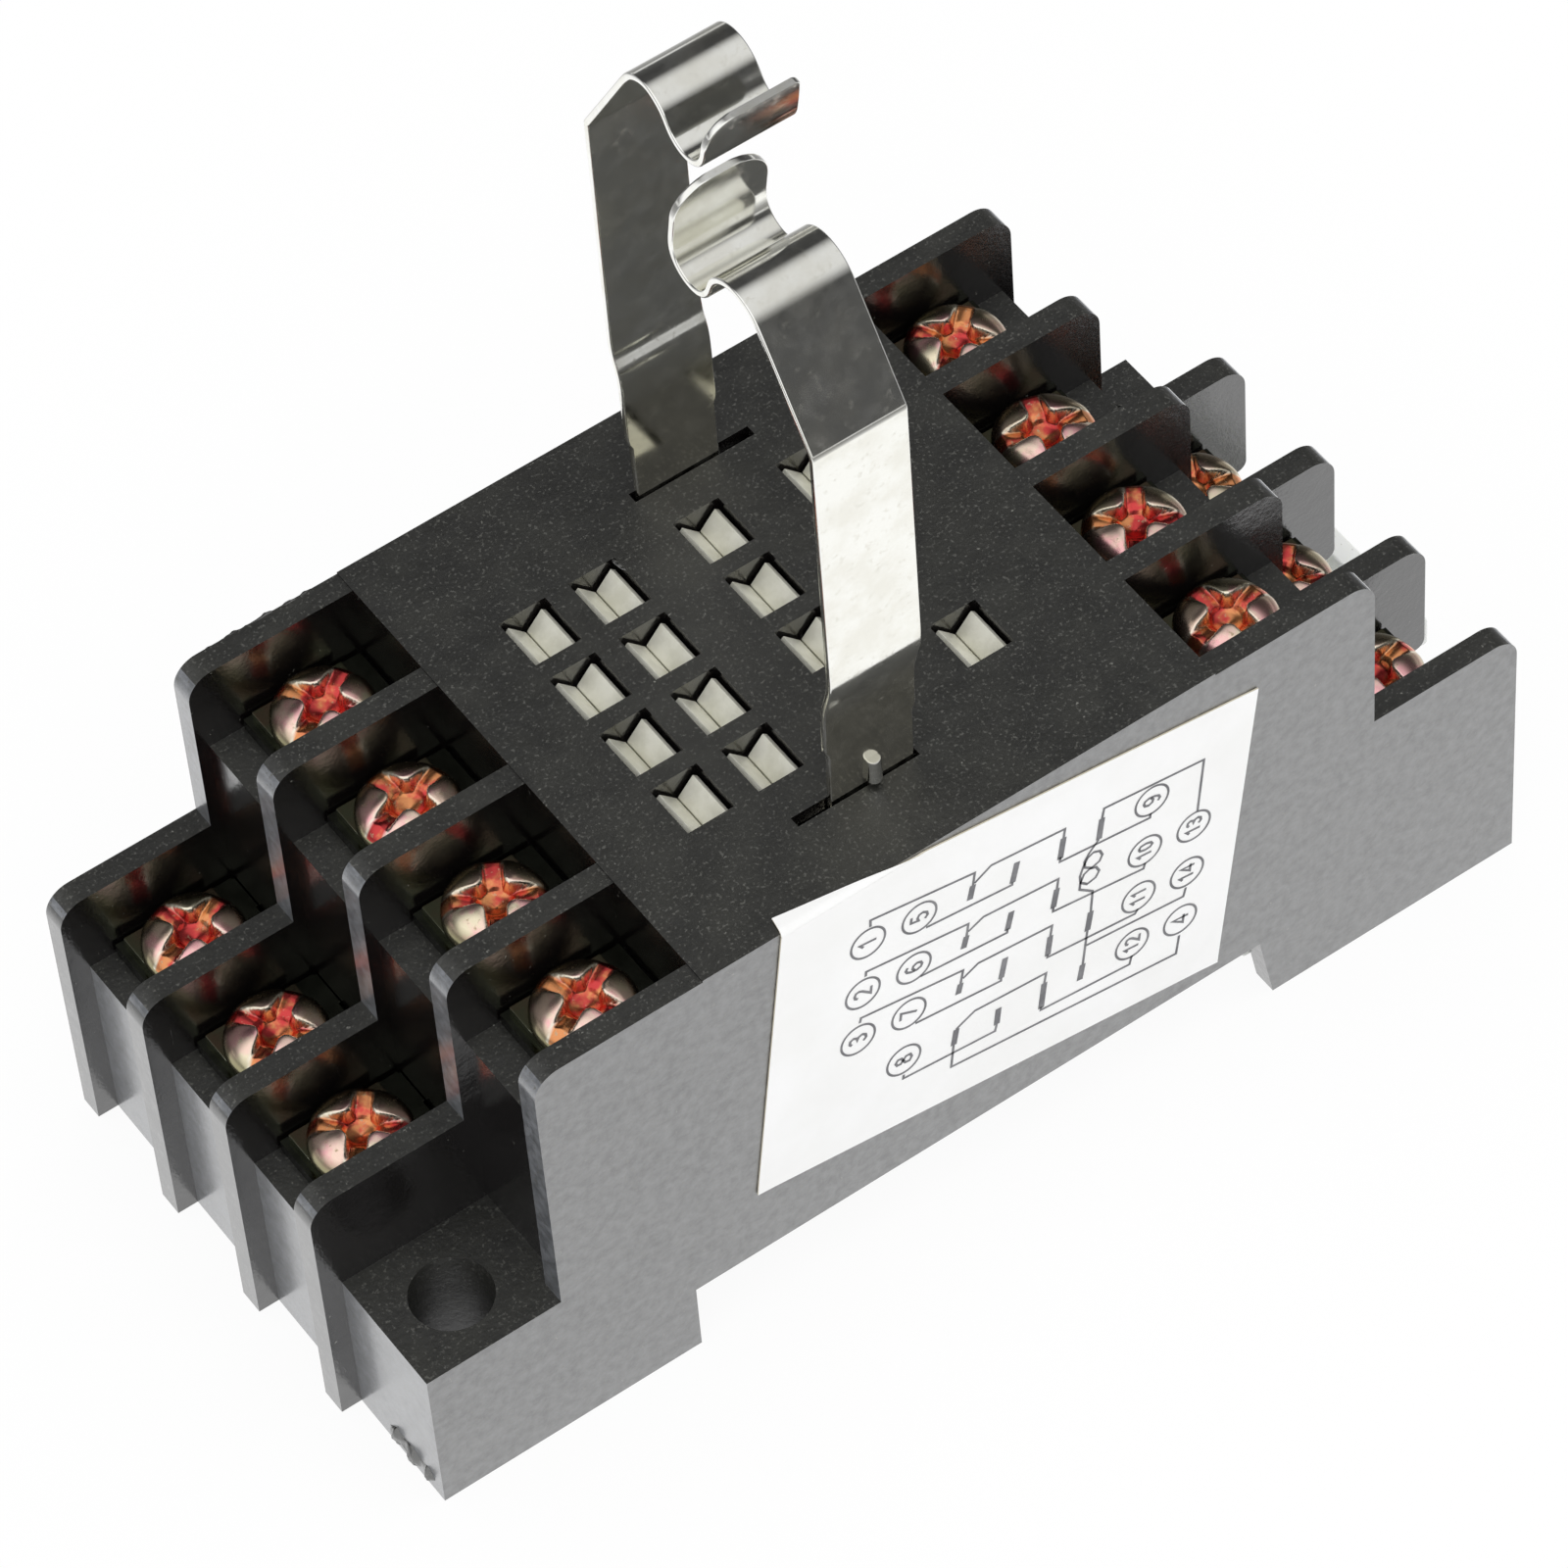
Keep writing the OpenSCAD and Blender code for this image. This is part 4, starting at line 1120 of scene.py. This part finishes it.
def makeLabel(s):
    halfU, halfV = s["size"][0] / 2, s["size"][1] / 2
    count, (lower, upper, share), (curlFrom, curl) = s["columns"], s["rows"], s["curl"]
    columns = [-halfU + 2 * halfU * i / count for i in range(count + 1)]
    rowsAt = [-halfV + 2 * halfV * share * i / lower for i in range(lower + 1)]
    rowsAt += [rowsAt[-1] + (halfV - rowsAt[-1]) * i / upper for i in range(1, upper + 1)]
    verts, faces = [], []
    wide = len(columns)
    for out in (s["thick"], s["back"]):
        for v in rowsAt:
            for u in columns:
                lift = max(abs(u) / halfU - curlFrom, 0.0) + max(-v / halfV - curlFrom, 0.0)
                verts.append(labelPoint(u, v, out + lift * curl, s))
    count = wide * len(rowsAt)
    for layer, start in enumerate((0, count)):
        for j in range(len(rowsAt) - 1):
            for i in range(wide - 1):
                a = start + j * wide + i
                quad = (a, a + 1, a + wide + 1, a + wide)
                faces.append(quad if layer == 0 else quad[::-1])
    sheets = len(faces)
    rim = list(range(wide)) + [j * wide + wide - 1 for j in range(1, len(rowsAt))]
    rim += [count - 1 - i for i in range(1, wide)] + [j * wide for j in range(len(rowsAt) - 2, 0, -1)]
    faces += [(a, count + a, count + b, b) for a, b in zip(rim, rim[1:] + rim[:1])]
    mesh = bpy.data.meshes.new("wiringLabel")
    mesh.from_pydata(verts, [], faces)
    cut = [float(i >= sheets) for i in range(len(faces))]
    mesh.attributes.new("softEdge", "FLOAT", "FACE").data.foreach_set("value", cut)
    mesh.shade_smooth()
    mesh.set_sharp_from_angle(angle=math.radians(40))
    return linkPiece("wiringLabel", mesh, "base", "label")


# points of each digit in a box of one by one
digitStrokes = {
    "0": [(0.30, 1), (0.10, 0.86), (0.03, 0.5), (0.10, 0.14), (0.30, 0), (0.50, 0.14), (0.57, 0.5),
         (0.50, 0.86), (0.30, 1)],
    "1": [(0.10, 0.76), (0.34, 1), (0.34, 0)],
    "2": [(0.04, 0.78), (0.12, 0.95), (0.30, 1), (0.49, 0.94), (0.55, 0.76), (0.48, 0.56), (0.05, 0),
         (0.58, 0)],
    "3": [(0.05, 0.86), (0.20, 1), (0.42, 0.98), (0.53, 0.80), (0.44, 0.58), (0.24, 0.54), (0.47, 0.47),
         (0.57, 0.26), (0.45, 0.05), (0.22, 0), (0.03, 0.15)],
    "4": [(0.44, 0), (0.44, 1), (0.02, 0.30), (0.62, 0.30)],
    "5": [(0.53, 1), (0.13, 1), (0.08, 0.54), (0.29, 0.62), (0.50, 0.53), (0.57, 0.30), (0.45, 0.06),
         (0.22, 0), (0.03, 0.14)],
    "6": [(0.52, 0.90), (0.34, 1), (0.15, 0.90), (0.05, 0.62), (0.04, 0.30), (0.15, 0.06), (0.33, 0),
         (0.52, 0.10), (0.57, 0.33), (0.45, 0.54), (0.26, 0.58), (0.07, 0.42)],
    "7": [(0.03, 1), (0.57, 1), (0.22, 0)],
    "8": [(0.30, 0.54), (0.10, 0.66), (0.09, 0.88), (0.30, 1), (0.51, 0.88), (0.50, 0.66), (0.30, 0.54),
         (0.06, 0.38), (0.05, 0.12), (0.30, 0), (0.55, 0.12), (0.54, 0.38), (0.30, 0.54)],
    "9": [(0.08, 0.10), (0.26, 0), (0.45, 0.10), (0.55, 0.38), (0.56, 0.70), (0.45, 0.94), (0.27, 1),
         (0.08, 0.90), (0.03, 0.67), (0.15, 0.46), (0.34, 0.42), (0.53, 0.58)],
}

# millimetres from the middle of the label
circlePlaces = {
    1: (-9.0, 5.45), 2: (-9.0, 1.7), 3: (-9.0, -1.8), 5: (-5.9, 5.45), 6: (-5.9, 1.7), 7: (-5.9, -1.75),
    8: (-5.9, -5.3), 9: (8.37, 5.6), 10: (8.37, 1.85), 11: (8.37, -1.6), 12: (8.37, -5.2),
    13: (11.43, 1.9), 14: (11.43, -1.6), 4: (11.43, -5.2),
}

thinLines = [
    [(-8.95, 6.6), (-9, 7.1), (-2.67, 6.8), (-2.69, 5.9)],
    [(-2.6, 6.0), (-1.66, 6.75), (2.86, 6.75), (2.84, 6.1)], [(-5.4, 4.4), (-0.15, 4.4), (-0.15, 4.6)],
    [(8.4, 4.62), (8.4, 4.3), (2.8, 4.34), (2.79, 4.7)],
    [(-8.93, 2.9), (-8.93, 3.25), (-2.7, 3.04), (-2.72, 2.14)],
    [(-2.64, 2.43), (-1.77, 3.0), (2.84, 3.06), (2.83, 2.33)], [(-5.4, 0.76), (-0.1, 0.8), (-0.1, 1.1)],
    [(8.5, 0.88), (8.44, 0.48), (2.77, 0.65), (2.74, 1.0)],
    [(-9, -0.55), (-8.95, -0.2), (-2.69, -0.45), (-2.75, -1.42)],
    [(-2.63, -1.1), (-1.75, -0.49), (2.82, -0.43), (2.79, -1.21)],
    [(-5.4, -2.8), (-0.12, -2.83), (-0.13, -2.6)],
    [(8.43, -2.55), (8.3, -2.85), (2.78, -2.82), (2.77, -2.6)],
    [(-5.8, -6.5), (-5.8, -6.79), (-0.1, -6.69), (-0.05, -6.2)],
    [(-2.7, -4.94), (-1.6, -4.2), (2.83, -4.04), (2.79, -4.78)],
    [(-2.74, -6.13), (-2.73, -7.82), (11.49, -7.85), (11.52, -6.46)],
    [(8.46, -6.15), (8.39, -6.78), (2.78, -6.86), (2.78, -6.6)],
    [(11.5, -2.78), (11.42, -3.41), (5.3, -3.43)],
    [(11.54, 2.94), (11.48, 6.8), (5.26, 6.84), (5.21, 6.14)],
    [(4.33, 1.83), (4.34, 1.35), (5.22, 0.72), (5.28, -0.86)], [(5.22, -2.28), (5.21, -4.83)],
    [(5.18, 4.6), (4.65, 3.87), (4.42, 3.4), (4.50, 2.9), (4.95, 2.62), (5.42, 2.85), (5.55, 3.25),
     (5.35, 3.65), (4.95, 3.78), (4.6, 3.55), (4.38, 3.0), (4.25, 2.4), (4.35, 1.85), (4.8, 1.5),
     (5.3, 1.7), (5.48, 2.1), (5.25, 2.5), (4.85, 2.62), (4.5, 2.4), (4.33, 1.83)],
]

thickBars = [
    [(-2.69, 5.9), (-2.79, 4.87)], [(2.84, 6.1), (2.79, 4.56)], [(-0.15, 4.55), (0, 6.0)],
    [(-2.72, 2.14), (-2.83, 1.28)], [(2.83, 2.33), (2.74, 0.94)], [(-0.1, 1.0), (0.03, 2.31)],
    [(-2.75, -1.42), (-2.83, -2.17)], [(2.79, -1.21), (2.77, -2.67)], [(-0.13, -2.63), (-0.01, -1.15)],
    [(-0.05, -6.2), (-0.05, -4.97)], [(2.79, -4.78), (2.78, -6.71)], [(-2.67, -4.95), (-2.74, -6.13)],
    [(5.21, 6.14), (5.18, 4.6)], [(5.28, -0.86), (5.22, -2.28)], [(5.21, -4.83), (5.14, -6.0)],
]

def strokeRails(points, width, closed):
    # both sides of a line of even width
    pts, rails = [Vector(p) for p in points], []
    n = len(pts)
    for i, p in enumerate(pts):
        ways = [(p - pts[i - 1]).normalized()] if closed or i else []
        if closed or i < n - 1:
            ways.append((pts[(i + 1) % n] - p).normalized())
        mean = sum(ways, Vector((0, 0)))
        mean = mean.normalized() if mean.length > 0.2 else ways[-1]
        side = Vector((-mean.y, mean.x))
        reach = width / 2 / max(side.dot(Vector((-ways[0].y, ways[0].x))), 0.45)
        rails.append((p + side * reach, p - side * reach))
    return rails


def makePrint(s):
    verts, faces = [], []

    def add(points, width, closed=False):
        rails = strokeRails(points, width, closed)
        start, n = len(verts), len(rails)
        verts.extend(labelPoint(p.x, p.y, s["thick"] + s["lift"], s) for pair in rails for p in pair)
        for i in range(n if closed else n - 1):
            a, b = start + 2 * i, start + 2 * ((i + 1) % n)
            faces.append((a, a + 1, b + 1, b))

    for line in thinLines:
        add(line, s["line"])
    for bar in thickBars:
        add(bar, s["bar"])
    for number, (u, v) in circlePlaces.items():
        ring = [(u + s["circle"] * math.cos(k * math.pi / 20), v + s["circle"] * math.sin(k * math.pi / 20))
                for k in range(40)]
        add(ring, s["line"] * s["ring"], True)
        text = str(number)
        high = s["digit"] * (s["pairDigit"] if len(text) > 1 else 1.0)
        step = s["digitStep"] * high
        begin = -(step * len(text) - s["digitGap"] * high) / 2
        for k, char in enumerate(text):
            # numbers read upwards
            stroke = [(u - (y - 0.5) * high, v + begin + step * k + x * high) for x, y in digitStrokes[char]]
            add(stroke, s["stroke"])
    mesh = bpy.data.meshes.new("wiringPrint")
    mesh.from_pydata(verts, [], faces)
    bm = bmesh.new()
    bm.from_mesh(mesh)
    bm.normal_update()
    for f in bm.faces:
        if f.normal.y > 0:
            f.normal_flip()
    bm.to_mesh(mesh)
    bm.free()
    return linkPiece("wiringPrint", mesh, "base")


paperSettings = {
    "light": (0.92, 0.92, 0.92),
    "dark": (0.88, 0.88, 0.87),
    "cutEdge": (0.72, 0.66, 0.52),
    "clouds": (140.0, 0.3, 0.7),
    "fibres": (7000.0, 0.00001, 0.2),
    "rough": (0.50, 0.60),
}


def makePaper(s):
    mat, tree = newMaterial("labelPaper")
    clouds = useGroup(tree, cloudGroup, s["clouds"], (-900, 300))
    fibres = useGroup(tree, grainGroup, s["fibres"], (-900, -300))
    edge = meshValue(tree, "softEdge", (-900, 50))
    base = mixColour(tree, clouds, s["light"], s["dark"], (-600, 300))
    base = mixColour(tree, edge, base, s["cutEdge"], (-400, 250))
    rough = mixValue(tree, clouds, *s["rough"], (-600, 0))
    return setSurface(mat, {"Base Color": base, "Roughness": rough, "Normal": fibres})


inkSettings = {
    "deep": (0.11, 0.11, 0.12),
    "faded": (0.21, 0.21, 0.22),
    "fade": (900.0, 0.35, 0.7),
    "rough": (0.42, 0.58),
}


def makeInk(s):
    mat, tree = newMaterial("printInk")
    fade = useGroup(tree, cloudGroup, s["fade"], (-900, 300))
    base = mixColour(tree, fade, s["deep"], s["faded"], (-600, 300))
    return setSurface(mat, {"Base Color": base, "Roughness": mixValue(tree, fade, *s["rough"], (-600, 0))})


makeLabel(labelSettings).data.materials.append(makePaper(paperSettings))
makePrint(labelSettings).data.materials.append(makeInk(inkSettings))
print("label ready")
